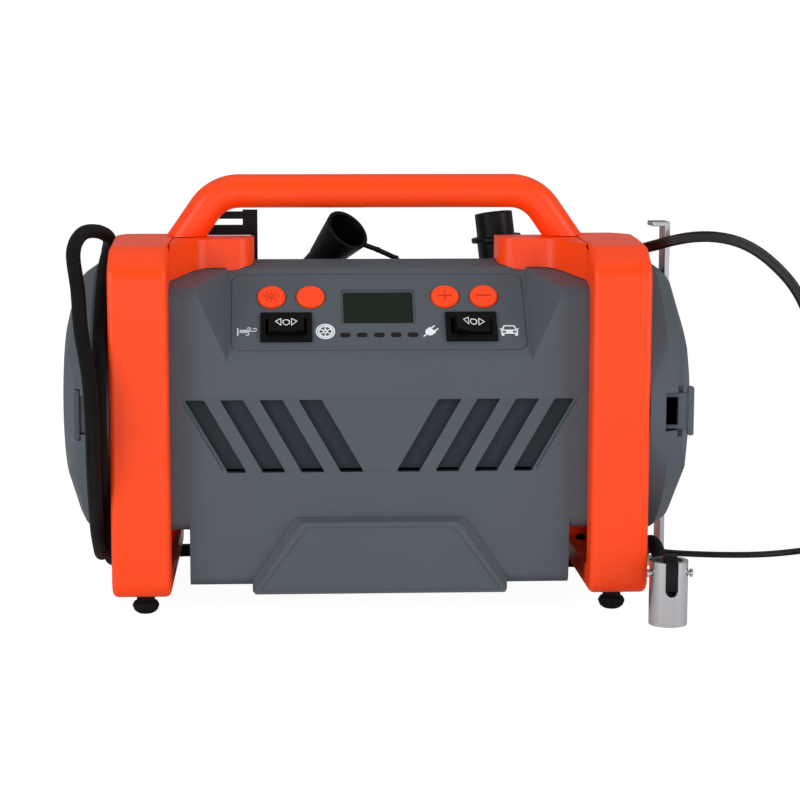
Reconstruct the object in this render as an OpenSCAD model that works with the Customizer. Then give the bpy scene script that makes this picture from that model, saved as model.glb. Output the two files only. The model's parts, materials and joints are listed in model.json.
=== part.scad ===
// Dual-power tyre inflator: mains and 12 V air compressor with hose, tyre chuck and blower.
// X runs along the body, Y from the control face to the back, Z up from the ground.

/* [Body] */
// Half width of the grey body between the two frame loops
body_half_w = 114.5; // [106:0.5:120]
// Half depth of the grey body, centre to front face
body_half_d = 64; // [60:0.5:68]
// Height of the underside above the ground
body_base = 15; // [13:0.5:18]
// Height where the upright front turns into the sloped control face
slope_foot = 141.5; // [136:0.5:144]
// Height of the edge between sloped face and deck
deck_z = 187.5; // [183:0.5:190]
// Half depth of the deck between the two sloped faces
deck_half_d = 18; // [16:0.5:20]
// Rise of the crown in the middle of the deck
crown = 3.5; // [2:0.5:6]
// Wall thickness of the two body shells
wall = 2.5; // [2:0.1:3]
// Half width of the narrower foot of the body
foot_half_w = 104.5; // [98:0.5:106]
// Height of the notches beside that narrower foot
notch_z = 46; // [40:1:52]

/* [Frame loops] */
// Width of one frame loop
loop_w = 32; // [29:0.5:36]
// How far a loop stands proud of the body all round
loop_proud = 14; // [12:0.5:16]
// Wall thickness of a loop
loop_wall = 3; // [2.5:0.1:4]
// Height of the loop's underside
loop_base = 11; // [9:0.5:12]
// Length of a handle pad, measured inwards from its loop
pad_reach = 45.5; // [40:0.5:50]
// Half depth of a handle pad
pad_half_d = 20; // [16:0.5:22]

/* [Handle] */
// Diameter of the handle tube
handle_d = 19; // [16:0.5:22]
// Height of the top of the handle
handle_top = 239; // [234:1:246]
// Half length of the straight grip
grip_half = 77; // [70:1:80]
// Centreline bend radius at each end of the grip
handle_bend = 24; // [20:1:28]
// Slope of the handle's legs
leg_slope = 55; // [50:1:60]

/* [End covers] */
// How far the rim of a cover stays behind the front of its loop
cover_inset = 1; // [0.5:0.5:4]
// How far a cover stands out from its loop
cover_reach = 29; // [27:0.5:32]
// Corner radius of the six-sided facet on a cover
facet_r = 66; // [60:0.5:68]
// Height of the covers' centre
end_axis_z = 112; // [111:0.5:113]
// Thickness of the covers
cover_wall = 2.5; // [2:0.1:3]

/* [Controls] */
// Diameter of the push buttons
button_d = 15.8; // [14:0.1:17]
// Travel of the push buttons
button_travel = 1; // [0.6:0.1:1.5]
// Width of a rocker switch bezel
rocker_w = 28.5; // [26:0.1:30]
// Height of a rocker switch bezel along the slope
rocker_h = 20.2; // [20:0.1:23]
// Tilt of a rocker paddle at either end
rocker_tilt = 10; // [6:0.5:12]
// Width of the display window
lcd_w = 38; // [34:0.5:40]
// Height of the display window along the slope
lcd_h = 21.6; // [20:0.5:25]
// Width of the control panel
panel_w = 162; // [156:1:170]
// Height of the control panel along the slope
panel_h = 54; // [51:0.5:55]

/* [Hose and leads] */
// Diameter of the braided air hose
hose_d = 8; // [7:0.1:8.2]
// Width of the flat leads
lead_w = 6.2; // [5:0.1:6.4]
// Thickness of the flat leads
lead_t = 3.2; // [2.6:0.1:3.4]
// Outer diameter of the tyre chuck
chuck_d = 20.8; // [19:0.1:21]
// Height of the chuck standing on its mouth
chuck_h = 35; // [33:0.1:37]

/* [Pump] */
// Bore of the pump cylinder
bore_d = 28; // [24:0.5:30]
// Crank radius, half the stroke
crank_r = 4.5; // [3:0.25:5]
// Module of the reduction gears
gear_module = 1; // [1:0.05:1.1]
// Teeth on the motor pinion
pinion_teeth = 12; // [11:1:13]
// Teeth on the crank gear
crank_teeth = 36; // [34:1:38]
// Diameter of the blower impeller
impeller_d = 70; // [60:1:74]

/* [Hidden] */

fine = 64;
gap = 0.3;
run_fit = 0.06;
over = 1;

orange = "#ff5a2c";
grey = "#5f666e";
black = "#18191b";
steel = "#b9bec4";

// ---- shared plane geometry --------------------------------------------------------------

function unit(v) = v / norm(v);
function left_normal(a, b) = let (d = unit([b[0] - a[0], b[1] - a[1]])) [-d[1], d[0]];

// A clockwise outline of [y, z, corner radius], moved outwards by g.
function grown(c, g) = [
    for (i = [0 : len(c) - 1])
        let (
            q = c[i],
            n1 = left_normal(c[(i + len(c) - 1) % len(c)], q),
            n2 = left_normal(q, c[(i + 1) % len(c)]),
            k = g / (1 + n1 * n2)
        )
        [q[0] + k * (n1[0] + n2[0]), q[1] + k * (n1[1] + n2[1]), max(q[2] + g, 0.4)]
];

function turn(a) = a > 180 ? a - 360 : a < -180 ? a + 360 : a;

// The same outline with each corner drawn as an arc of the given number of steps.
function rounded(c, steps = 6) = [
    for (i = [0 : len(c) - 1])
        let (
            q = [c[i][0], c[i][1]],
            p = c[(i + len(c) - 1) % len(c)],
            n = c[(i + 1) % len(c)],
            u = unit([p[0], p[1]] - q),
            v = unit([n[0], n[1]] - q),
            half = acos(u * v) / 2,
            r = c[i][2],
            centre = q + unit(u + v) * r / sin(half),
            t1 = q + u * r / tan(half) - centre,
            t2 = q + v * r / tan(half) - centre,
            a1 = atan2(t1[1], t1[0]),
            sweep = turn(atan2(t2[1], t2[0]) - a1)
        )
        for (k = [0 : steps])
            centre + r * [cos(a1 + sweep * k / steps), sin(a1 + sweep * k / steps)]
];

module along_x(x0, x1) {
    translate([x0, 0, 0]) rotate([90, 0, 90]) linear_extrude(x1 - x0) children();
}

module box(x, y, z) {
    translate([x[0], y[0], z[0]]) cube([x[1] - x[0], y[1] - y[0], z[1] - z[0]]);
}

module rod_x(x0, x1, y, z, r) {
    translate([x0, y, z]) rotate([0, 90, 0]) cylinder(h = x1 - x0, r = r, $fn = fine);
}

module rod_y(x, y0, y1, z, r) {
    translate([x, y0, z]) rotate([-90, 0, 0]) cylinder(h = y1 - y0, r = r, $fn = fine);
}

module rod_z(x, y, z0, z1, r) {
    translate([x, y, z0]) cylinder(h = z1 - z0, r = r, $fn = fine);
}

// A flat block with rounded corners, centred on the Z axis, from z0 to z1.
module slab(w, h, r, z0, z1) {
    translate([0, 0, z0]) linear_extrude(z1 - z0)
        polygon(rounded([[-w / 2, -h / 2, r], [-w / 2, h / 2, r], [w / 2, h / 2, r],
            [w / 2, -h / 2, r]]));
}

// ---- outlines of the body and the loops ---------------------------------------------------

function body_outline(base) = [
    [-body_half_d, base, 6],
    [-body_half_d, slope_foot, 10],
    [-deck_half_d, deck_z, 6],
    [0, deck_z + crown, 12],
    [deck_half_d, deck_z, 6],
    [body_half_d, slope_foot, 10],
    [body_half_d, base, 6]
];

// The cheeks beside the control face carry the deck's roof on to the front and the back.
cheek_x = 84;
cheek_flare = 0.63;
cheek_z = deck_z + crown - crown * body_half_d / deck_half_d;

function cheek_outline(base) = [
    [-body_half_d, base, 6],
    [-body_half_d, cheek_z, 7],
    [0, deck_z + crown, 12],
    [body_half_d, cheek_z, 7],
    [body_half_d, base, 6]
];

loop_half_d = body_half_d + loop_proud;
loop_top = deck_z + crown + loop_proud - 0.5;
loop_x0 = body_half_w;
loop_x1 = body_half_w + loop_w;
loop_shoulder = 13.5;
loop_outline = [
    [-loop_half_d, loop_base, 9],
    [-loop_half_d, loop_top - loop_shoulder, 12],
    [-loop_half_d + 17, loop_top - 2.5, 16],
    [0, loop_top, 60],
    [loop_half_d - 17, loop_top - 2.5, 16],
    [loop_half_d, loop_top - loop_shoulder, 12],
    [loop_half_d, loop_base, 9]
];

module body_block(half_w, base, g) {
    along_x(-half_w, half_w) polygon(rounded(grown(body_outline(base), g)));
}

shell_end = loop_x1 - loop_wall - gap;

// The room over both sloped faces, with sides that lean outwards.
module slope_room(g) {
    x = cheek_x - g * norm([1, cheek_flare]);
    for (side = [0, 1]) mirror([0, side, 0]) on_slope(0, slope_len / 2) rotate([90, 0, 0])
        linear_extrude(2 * slope_len, center = true)
            polygon([[-x, -60], [x, -60], [x, 0], [x + 40 * cheek_flare, 40],
                [-x - 40 * cheek_flare, 40], [-x, 0]]);
}

module cheek_block(half_w, base, g) {
    difference() {
        along_x(-half_w, half_w) polygon(rounded(grown(cheek_outline(base), g)));
        slope_room(g);
    }
}

module body_shape(half_w, base, g) {
    body_block(half_w, base, g);
    cheek_block(half_w, base, g);
}

module body_solid() {
    body_shape(shell_end, notch_z, 0);
    body_block(foot_half_w, body_base, 0);
}

module body_hollow() {
    body_shape(shell_end + over, notch_z, -wall);
    body_block(foot_half_w - wall, body_base, -wall);
}

// ---- the sloped control face --------------------------------------------------------------

slope_run = body_half_d - deck_half_d;
slope_rise = deck_z - slope_foot;
slope_angle = atan2(slope_rise, slope_run);
slope_len = norm([slope_run, slope_rise]);

// Moves to the point x along the body and s down the slope, Z outwards, Y up the slope.
module on_slope(x, s, h = 0) {
    translate([0, -deck_half_d - s * cos(slope_angle), deck_z - s * sin(slope_angle)])
        rotate([slope_angle, 0, 0]) translate([x, 0, h]) children();
}

module on_rear_slope(x, s, h = 0) {
    mirror([0, 1, 0]) on_slope(x, s, h) children();
}

panel_s = slope_len / 2 + 0.2;
panel_t = 1.8;
panel_back = -wall - 1;
button_s = panel_s - 10.4;
button_in = [21.9, 43.6];
button_x = [-panel_w / 2 + button_in[0], -panel_w / 2 + button_in[1], panel_w / 2 - button_in[1],
    panel_w / 2 - button_in[0]];
lcd_s = panel_s - 3.6;
rocker_s = panel_s + 11.4;
rocker_x = panel_w / 2 - 30;
lens_s = panel_s + 16.5;
lens_pitch = 9.3;
lens_count = 5;
lens_w = 5.7;
lens_h = 3;
lcd_border = 1.6;
board_h = -13;
board_t = 1.6;

module control_panel() {
    color(grey) difference() {
        on_slope(0, panel_s, -panel_t) slab(panel_w, panel_h, 5, 0, panel_t);
        for (x = button_x) on_slope(x, button_s, -panel_t - over)
            cylinder(h = panel_t + 2 * over, d = button_d + 2 * gap, $fn = fine);
        on_slope(0, lcd_s, -panel_t - over)
            slab(lcd_w + 2 * gap, lcd_h + 2 * gap, 1.2, 0, panel_t + 2 * over);
        on_slope(0, lcd_s, -0.8)
            slab(lcd_w + 2 * lcd_border, lcd_h + 2 * lcd_border, 1.5, 0, 2 * over);
        for (x = [-rocker_x, rocker_x]) on_slope(x, rocker_s, -panel_t - over)
            slab(rocker_w - 3, rocker_h - 3, 1, 0, panel_t + 2 * over);
        for (i = [0 : lens_count - 1])
            on_slope((i - (lens_count - 1) / 2) * lens_pitch, lens_s, -panel_t - over)
                slab(lens_w + 0.2, lens_h + 0.2, lens_h / 2, 0, panel_t + 2 * over);
    }
}

module panel_pocket() {
    on_slope(0, panel_s, -panel_t) slab(panel_w + 2 * gap, panel_h + 2 * gap, 5.2, 0, 3 * panel_t);
    on_slope(0, panel_s, panel_back - 3)
        slab(panel_w - 6, panel_h - 6, 4, 0, 6 * panel_t);
}

lcd_glass_h = -panel_t;

module lcd_window() {
    color("#1c2824") on_slope(0, lcd_s, lcd_glass_h)
        slab(lcd_w, lcd_h, 1, 0, 0.8);
}

module lcd_module() {
    color("#2b3634") {
        on_slope(0, lcd_s, lcd_glass_h) slab(lcd_w + 4, lcd_h + 3, 1, -4, 0);
        for (x = [-1, 1]) on_slope(x * lcd_w * 0.45, lcd_s, 0)
            slab(3, lcd_h * 0.6, 0.5, board_h + board_t, lcd_glass_h - 3.9);
    }
}

button_proud = 1.4;
stem_d = 5;

module push_button(x) {
    color(orange) on_slope(x, button_s) {
        translate([0, 0, -panel_t - 0.2])
            cylinder(h = panel_t + 0.2 + button_proud - 0.6, d = button_d, $fn = fine);
        translate([0, 0, button_proud - 0.6])
            cylinder(h = 0.6, d1 = button_d, d2 = button_d - 1.6, $fn = fine);
        translate([0, 0, board_h + board_t + button_travel + 0.6])
            cylinder(h = -board_h - board_t - button_travel, d = stem_d, $fn = fine);
    }
}

module light_button() { push_button(button_x[0]); }
module unit_button() { push_button(button_x[1]); }
module plus_button() { push_button(button_x[2]); }
module minus_button() { push_button(button_x[3]); }

bezel_proud = 1.5;
paddle_w = rocker_w - 8.5;
paddle_h = rocker_h - 9.5;
paddle_r = 12;
switch_depth = 9;

module rocker_bezels() {
    color(black) for (x = [-rocker_x, rocker_x]) on_slope(x, rocker_s) difference() {
        union() {
            slab(rocker_w, rocker_h, 0.8, 0, bezel_proud);
            slab(rocker_w - 3.4, rocker_h - 3.4, 0.8, -switch_depth, 0.1);
        }
        slab(paddle_w + 2.4, paddle_h + 0.8, 0.5, -switch_depth + 1.5, bezel_proud + over);
        translate([0, 0, paddle_axis_h]) rotate([90, 0, 0])
            cylinder(h = paddle_h + 4, r = 1 + run_fit, center = true, $fn = fine);
    }
}

paddle_axis_h = -2;

// The paddle pivots about a line up the slope; its top is a shallow two-sided roof.
module paddle(x, tilt) {
    color(black) on_slope(x, rocker_s, paddle_axis_h) rotate([0, tilt, 0]) {
        rotate([90, 0, 0]) linear_extrude(paddle_h, center = true)
            polygon([[-paddle_w / 2, 0.6], [-paddle_w / 2 + 0.4, 6.6], [-paddle_w / 2 + 1.2, 7.2],
                [0, 5.6], [paddle_w / 2 - 1.2, 7.2], [paddle_w / 2 - 0.4, 6.6],
                [paddle_w / 2, 0.6], [2.5, -3], [-2.5, -3]]);
        rotate([90, 0, 0]) cylinder(h = paddle_h + 3.6, r = 1, center = true, $fn = fine);
    }
}

module mode_paddle() { paddle(-rocker_x, 0); }
module power_paddle() { paddle(rocker_x, rocker_tilt); }

module indicator_lenses() {
    color("#8a7d70") for (i = [0 : lens_count - 1])
        on_slope((i - (lens_count - 1) / 2) * lens_pitch, lens_s) {
            slab(lens_w, lens_h, lens_h / 2 - 0.01, -panel_t, 0.2);
            slab(lens_h, lens_h - 0.6, 0.4, board_h + board_t, -panel_t);
        }
}

module control_board() {
    color("#2f5d3a") on_slope(0, panel_s, board_h) slab(panel_w - 14, panel_h - 9, 1, 0, board_t);
    color(black) on_slope(0, panel_s, board_h - 3.6) slab(16, 12, 0.5, 0, 3.6);
}

// ---- the two body shells ---------------------------------------------------------------------

vent_z0 = 78.4;
vent_z1 = 118.4;
vent_recess = 1.2;
band_bevel = [2.5, 5.1];
slot_pitch = 21.36;
slot_w = 12.6;
slot_lean = 23;
slot_first = 9;
slot_rows = 4;
slot_trim = 2.2;
cup_wall = 1.2;
cup_depth = 5;
cup_floor = 1.5;
slit_h = 1.4;
post_x = body_half_w - 9;
post_z = [62, 128];
post_r = 4.5;
screw_r = 1.75;
plate_z = [11.6, 51.4];

// Outline of one leaning vent slot; the mirrored side leans the other way.
function slot_outline(i, z1) = let (
    x0 = slot_first + i * slot_pitch,
    w = i == slot_rows - 1 ? slot_w - slot_trim : slot_w,
    lean = slot_lean * (z1 - vent_z0) / (vent_z1 - vent_z0)
) [[x0, vent_z0, 0.6], [x0 + lean, z1, 0.6], [x0 + w + lean, z1, 0.6], [x0 + w, vent_z0, 0.6]];

// Material in the outline c, from y0 to y1 behind the body's front face.
module behind_front(c, y0, y1) {
    translate([0, -body_half_d + y1, 0]) rotate([90, 0, 0]) linear_extrude(y1 - y0)
        polygon(rounded(c));
}

module vent_band() {
    x = slot_first + (slot_rows - 1) * slot_pitch + slot_w;
    front = -body_half_d;
    intersection() {
        along_x(-200, 200) polygon([[front - over, vent_z0 - over],
            [front - 0.01, vent_z0], [front + vent_recess, vent_z0 + band_bevel[0]],
            [front + vent_recess, vent_z1 + 2.1 - band_bevel[1]],
            [front - 0.01, vent_z1 + 2.1], [front - over, vent_z1 + 2.1 + over]]);
        translate([0, front + 5, 0]) rotate([90, 0, 0]) linear_extrude(10)
            polygon([[-x - 2 * slot_lean, vent_z1 + slot_lean * 1.74], [-x, vent_z0],
                [x, vent_z0], [x + 2 * slot_lean, vent_z1 + slot_lean * 1.74]]);
    }
}

module vent_cups() {
    for (side = [0, 1]) mirror([side, 0, 0]) for (i = [0 : slot_rows - 1])
        behind_front(grown(slot_outline(i, vent_z1), cup_wall), wall / 2, cup_depth + cup_floor);
}

module vent_pockets() {
    for (side = [0, 1]) mirror([side, 0, 0]) for (i = [0 : slot_rows - 1]) {
        behind_front(slot_outline(i, vent_z1), -over, cup_depth);
        behind_front(slot_outline(i, vent_z0 + slit_h), -over, cup_depth + 2 * cup_floor);
    }
}

module front_shell() {
    color(grey) difference() {
        union() {
            difference() {
                body_solid();
                body_hollow();
                panel_pocket();
                vent_band();
            }
            vent_cups();
            intersection() {
                body_solid();
                for (x = [-post_x, post_x]) for (z = post_z)
                    rod_y(x, -body_half_d + wall / 2, post_join, z, post_r);
            }
        }
        vent_pockets();
        box([-200, 200], [0, 200], [-10, 300]);
        for (x = [-post_x, post_x]) for (z = post_z)
            rod_y(x, -screw_bite, over, z, screw_r + 0.02);
    }
}

post_join = 0;
screw_bite = 14;
rear_vent_z = [26, 52];
port_x = 48;
port_z = 122;
port_r = 15;
port_bore_y = 40;
lamp_x = -62;
lamp_z = 112;
lamp_w = 50;
lamp_h = 18;
mains_floor = 0.6;
car_gland_x = 95;
car_gland_z = 27;
gland_r = 6;
head_r = 3.5;
head_t = 2.4;
head_sunk = 4;

module rear_shell() {
    color(grey) difference() {
        union() {
            difference() {
                body_solid();
                body_hollow();
            }
            intersection() {
                body_solid();
                for (x = [-post_x, post_x]) for (z = post_z)
                    rod_y(x, 0, body_half_d - wall / 2, z, post_r);
            }
        }
        box([-200, 200], [-200, 0], [-10, 300]);
        for (x = [-post_x, post_x]) for (z = post_z) {
            rod_y(x, -over, body_half_d + over, z, screw_r + 0.2);
            rod_y(x, body_half_d - head_sunk, body_half_d + over, z, head_r + 0.3);
        }
        rod_y(port_x, body_half_d - 2 * wall, body_half_d + over, port_z, port_r + gap);
        rod_y(car_gland_x, body_half_d - 2 * wall, body_half_d + over, car_gland_z, gland_r);
        translate([lamp_x, body_half_d - 2 * wall, lamp_z]) rotate([-90, 0, 0])
            slab(lamp_w + 2 * gap, lamp_h + 2 * gap, 4, 0, 4 * wall);
        for (i = [-3 : 3])
            box([i * 12 - 2, i * 12 + 2], [body_half_d - 2 * wall, body_half_d + over], rear_vent_z);
    }
}

module shell_screws() {
    color(steel) for (x = [-post_x, post_x]) for (z = post_z) {
        rod_y(x, -screw_bite + 0.5, body_half_d - head_sunk, z, screw_r);
        difference() {
            rod_y(x, body_half_d - head_sunk, body_half_d - head_sunk + head_t, z, head_r);
            for (a = [0, 90]) translate([x, body_half_d - head_sunk + head_t, z])
                rotate([0, a, 0]) cube([3.6, 2, 0.9], center = true);
        }
    }
}

plate_half_foot = 70;
plate_half_top = 42.8;
plate_proud = 6;
plate_seat = 0.2;
plate_recess = 0.6;

// A trapezoid low on the front from z0 to z1, with the half widths foot and top.
function trapezoid(foot, top, z0, z1, r) =
    [[-foot, z0, 1], [-top, z1, r], [top, z1, r], [foot, z0, 1]];

// The bare trapezoid plate low on the front.
module lower_front_plate() {
    foot = plate_half_foot + 0.3;
    top = plate_half_top + 3.7;
    color(grey) difference() {
        hull() {
            behind_front([[-foot, plate_z[0], 1], [-foot, plate_z[0] + 6.9, 2],
                [-top, plate_z[1] + 2.1, 5], [top, plate_z[1] + 2.1, 5],
                [foot, plate_z[0] + 6.9, 2], [foot, plate_z[0], 1]], -plate_seat - 0.4, -plate_seat);
            behind_front(trapezoid(plate_half_foot, plate_half_top, plate_z[0], plate_z[1], 5),
                -plate_proud, -plate_proud + 0.4);
        }
        behind_front(trapezoid(plate_half_foot - 3.4, plate_half_top - 2.5, plate_z[0] + 1.8,
            plate_z[1] - 2.6, 3), -plate_proud - 2, -plate_proud + plate_recess);
    }
}

// ---- frame loops, handle and feet --------------------------------------------------------------

pad_top = loop_top - 0.5;
pad_x0 = loop_x0 - pad_reach;
flare_x = 16;
flare_y = 32;
foot_x = body_half_w + loop_w * 0.4625;
foot_y = loop_half_d - 18;
foot_r = 7.5;
foot_neck_r = 5;
pad_under = deck_z - 32;

function pad_plan() = rounded([
    [loop_x0 + loop_wall, pad_half_d + flare_y, 0.4], [loop_x0 - flare_x, pad_half_d, 14],
    [pad_x0, pad_half_d, 12], [pad_x0, -pad_half_d, 12],
    [loop_x0 - flare_x, -pad_half_d, 14], [loop_x0 + loop_wall, -pad_half_d - flare_y, 0.4]
]);

module loop_ring() {
    difference() {
        along_x(loop_x0, loop_x1) polygon(rounded(loop_outline));
        along_x(loop_x0 - over, loop_x1 + over)
            polygon(rounded(grown(cheek_outline(loop_base + loop_proud), gap)));
        along_x(loop_x0 + loop_wall, loop_x1 - loop_wall)
            polygon(rounded(grown(loop_outline, -loop_wall)));
    }
}

module frame_loop() {
    color(orange) {
        difference() {
            loop_ring();
            for (y = [-foot_y, foot_y]) rod_z(foot_x, y, loop_base - over, loop_base + 9, 2.6);
        }
        difference() {
            intersection() {
                translate([0, 0, pad_under]) linear_extrude(70) polygon(pad_plan());
                along_x(0, loop_x0 + loop_wall)
                    polygon(rounded(grown(loop_outline, -0.5)));
                box([0, 200], [-100, 100], [0, pad_top]);
            }
            body_shape(200, body_base, gap);
        }
    }
}

module right_frame_loop() { frame_loop(); }
module left_frame_loop() { mirror([1, 0, 0]) frame_loop(); }

handle_z = handle_top - handle_d / 2;
bend_dx = handle_bend * sin(leg_slope);
bend_dz = handle_bend * (1 - cos(leg_slope));
leg_drop = handle_z - bend_dz - pad_top;
leg_len = leg_drop / sin(leg_slope) + handle_d;

module carry_handle() {
    color(orange) {
        rod_x(-grip_half, grip_half, 0, handle_z, handle_d / 2);
        for (side = [0, 1]) mirror([side, 0, 0]) {
            translate([grip_half, 0, handle_z - handle_bend]) rotate([90, 0, 0])
                rotate([0, 0, 89 - leg_slope])
                    rotate_extrude(angle = leg_slope + 2, $fn = 96)
                        translate([handle_bend, 0]) circle(d = handle_d + 0.1, $fn = fine);
            difference() {
                translate([grip_half + bend_dx, 0, handle_z - bend_dz])
                    rotate([0, 90 + leg_slope, 0])
                        cylinder(h = leg_len, d = handle_d, $fn = fine);
                box([0, loop_x0 + gap], [-50, 50], [pad_top - 60, pad_top]);
                box([loop_x0, 200], [-50, 50], [pad_top - 60, loop_top]);
            }
        }
    }
}

module rubber_feet() {
    color(black) for (x = [-foot_x, foot_x]) for (y = [-foot_y, foot_y]) {
        translate([x, y, 0]) rotate_extrude($fn = fine) polygon([[0, 0], [4.2, 0], [6.4, 1.6],
            [foot_r, 4.4], [foot_r - 1, 6.4], [foot_neck_r, 7.2], [foot_neck_r, loop_base],
            [2.5, loop_base], [2.5, loop_base + loop_wall], [3.2, loop_base + loop_wall + 0.4],
            [2.2, loop_base + loop_wall + 3], [0, loop_base + loop_wall + 3]]);
    }
}

// ---- end plates, covers, keepers and winding bracket ---------------------------------------------

end_plate_t = 3;
end_plate_x = shell_end - 6;
bracket_x = loop_x1 + 18.5;
bracket_t = 3;
bracket_half = 9;
bracket_z = [12, 212];
lip_reach = 7;
bracket_post_z = [end_axis_z - 36, end_axis_z + 36];

module end_plates() {
    color("#7d8288") for (side = [0, 1]) mirror([side, 0, 0]) difference() {
        along_x(end_plate_x, end_plate_x + end_plate_t)
            polygon(rounded(grown(cheek_outline(notch_z), -wall - gap)));
        rod_x(end_plate_x - over, end_plate_x + end_plate_t + over, 40, end_axis_z - 30, 5);
    }
}

cover_r = loop_half_d - cover_inset;
cover_face = cover_reach + loop_x1;

// The domed form of a cover: a round rim, a six-sided facet and a nearly flat middle.
module cover_form(r, hex, x0, inset) {
    rim = cover_face - 18.5;
    hull() {
        rod_x(x0, rim - inset * 0.6, 0, end_axis_z, r);
        for (d = [[11.5, r - 5], [1.7, 46], [0.1, 14]])
            rod_x(cover_face - d[0] - inset, cover_face - d[0] + 0.1 - inset, 0, end_axis_z, d[1]);
        translate([cover_face - 6 - inset, 0, end_axis_z]) rotate([0, 90, 0])
            cylinder(h = 0.1, r = hex, $fn = 6);
    }
}

keeper_y = [-72, -67.5];
keeper_half = 13.5;
keeper_stem_half = 10;
keeper_bar = 3.3;
keeper_stem_len = 14;
keeper_travel = 5.5;
keeper_open_x = loop_x1 + 21.5;

module end_cover(hole_x, hole_z, hole_r, bracket_slots) {
    color(grey) difference() {
        cover_form(cover_r, facet_r, loop_x1, 0);
        cover_form(cover_r - cover_wall, facet_r - cover_wall, loop_x1 - over, cover_wall);
        if (bracket_slots) for (z = [end_axis_z + 50, end_axis_z - 100])
            box([bracket_x - 0.5, bracket_x + bracket_t + 0.5],
                [-bracket_half - 0.5, bracket_half + 0.5], [z, z + 50]);
        box([loop_x1 + 8.5, loop_x1 + 16.2], [-90, -60],
            [end_axis_z - keeper_stem_half - 0.5, end_axis_z + keeper_stem_half + 0.5]);
        box([loop_x1 + 8.5, loop_x1 + 40], [-90, keeper_y[1] - 0.7],
            [end_axis_z - keeper_stem_half - 0.3, end_axis_z + keeper_stem_half + 0.3]);
        box([keeper_open_x - keeper_travel - gap, loop_x1 + 40], [-90, keeper_y[1] + 0.4],
            [end_axis_z - keeper_half - 0.5, end_axis_z + keeper_half + 0.5]);
        rod_y(hole_x, 40, 100, hole_z, hole_r);
    }
}

module right_end_cover() { end_cover(mains_gland[0], mains_hole_z, relief_root_r + gap, true); }

module left_end_cover() {
    mirror([1, 0, 0]) end_cover(gland_x, gland_hole_z, gland_root_r + gap, false);
}

// A T-shaped slider: two rails run into the cover, the cross bar is the grip.
module keeper(x) {
    color(grey) {
        difference() {
            box([x - keeper_stem_len, x], [keeper_y[0] + 1, keeper_y[1] - 1],
                [end_axis_z - keeper_stem_half, end_axis_z + keeper_stem_half]);
            box([x - keeper_stem_len - over, x - 5.4], [keeper_y[0], keeper_y[1]],
                [end_axis_z - keeper_stem_half + 2.4, end_axis_z + keeper_stem_half - 2.4]);
        }
        translate([x + keeper_bar / 2, keeper_y[0], end_axis_z]) rotate([-90, 0, 0])
            slab(keeper_bar, 2 * keeper_half, 1.2, 0, keeper_y[1] - keeper_y[0]);
    }
}

module right_cord_keeper() { keeper(keeper_open_x); }
module left_hose_keeper() { mirror([1, 0, 0]) keeper(keeper_open_x - keeper_travel); }

// The bracket that keeps the wound leads on the right end.
module winding_bracket() {
    color("#9aa0a6") {
        box([bracket_x, bracket_x + bracket_t], [-bracket_half, bracket_half], bracket_z);
        for (z = [bracket_z[0], bracket_z[1] - 2.7])
            box([bracket_x - lip_reach, bracket_x + 0.1], [-bracket_half, bracket_half],
                [z, z + 2.7]);
        for (z = bracket_post_z)
            rod_x(end_plate_x + end_plate_t, bracket_x + 0.1, 0, z, 4.5);
    }
}

// ---- hose ---------------------------------------------------------------------------------------

hose_r = hose_d / 2;
gland_x = 151;
gland_y = 82.5;
gland_hole_z = 82;
gland_top = 104;
gland_root_r = 3.5;

module hose_gland() {
    color("#c9a14a") {
        rod_z(-gland_x, gland_y, 88, gland_top, 5);
        rod_z(-gland_x, gland_y, 76, 88, 4.6);
        rod_y(-gland_x, 61, gland_y, gland_hole_z, gland_root_r);
    }
}

chuck_x = 154;
chuck_y = -98;
chuck_r = chuck_d / 2;
chuck_bore_r = 7.5;
chuck_pin_z = 28.4;
chuck_pin_y = chuck_y - 2.5;
chuck_slot_w = 6.8;
chuck_slot_z = 20;
chuck_neck_z = 26;
chuck_neck_tilt = 20;
seal_r = 4;
seal_h = 14;
neck_way = [0, -cos(chuck_neck_tilt), -sin(chuck_neck_tilt)];
neck_root = [chuck_x, chuck_y + chuck_r - 1.2, chuck_neck_z - 1.6];
neck_len = 9.1;
neck_end = neck_root - neck_len * neck_way;

// Free stretch of the hose, from the winding along the ground to the chuck.
hose_route = [[-157.5, 8, 23.7], [-157.5, 16, 23.2], [-157.4, 26, 19.5], [-157, 36, 13.2],
    [-156.4, 46, 7.6], [-154, 57, 4.7], [-148.5, 67, 4.3], [-140, 75, 4.3], [-129.5, 80.5, 4.3],
    [-117, 83, 4.3], [-103, 82.5, 4.3], [-85, 79, 4.3], [-62, 73, 4.3], [-35, 65.5, 4.3],
    [-5, 58, 4.3], [25, 52, 4.3], [55, 47.5, 4.3], [80, 44.8, 4.3], [100, 43.8, 4.3],
    [116, 43, 4.3], [128.5, 40, 4.3], [138.5, 34, 4.3], [146.5, 24.5, 4.3], [151, 13, 5.4],
    [153, 1, 9.4], [153.3, -9, 15.2], [153.5, -20, 23], [153.6, -31, 29.6], [153.8, -44, 33.6],
    [153.9, -57, 34.2], neck_end - 10.5 * neck_way, neck_end];

// Stations of the winding on the left end: angle, distance out, radius about the cover's axis.
winding_stations = [[0, 151, 82.5], [275, 151, 82.5], [350, 162.5, 83], [375, 162.5, 83.5],
    [405, 160, 90.5], [432, 152.8, 92.3], [478, 166.5, 99.5], [508, 160.2, 92],
    [534, 154.2, 90.6], [556, 154.2, 90.6], [600, 155.2, 90.4], [630, 157.5, 88.3]];

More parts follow.
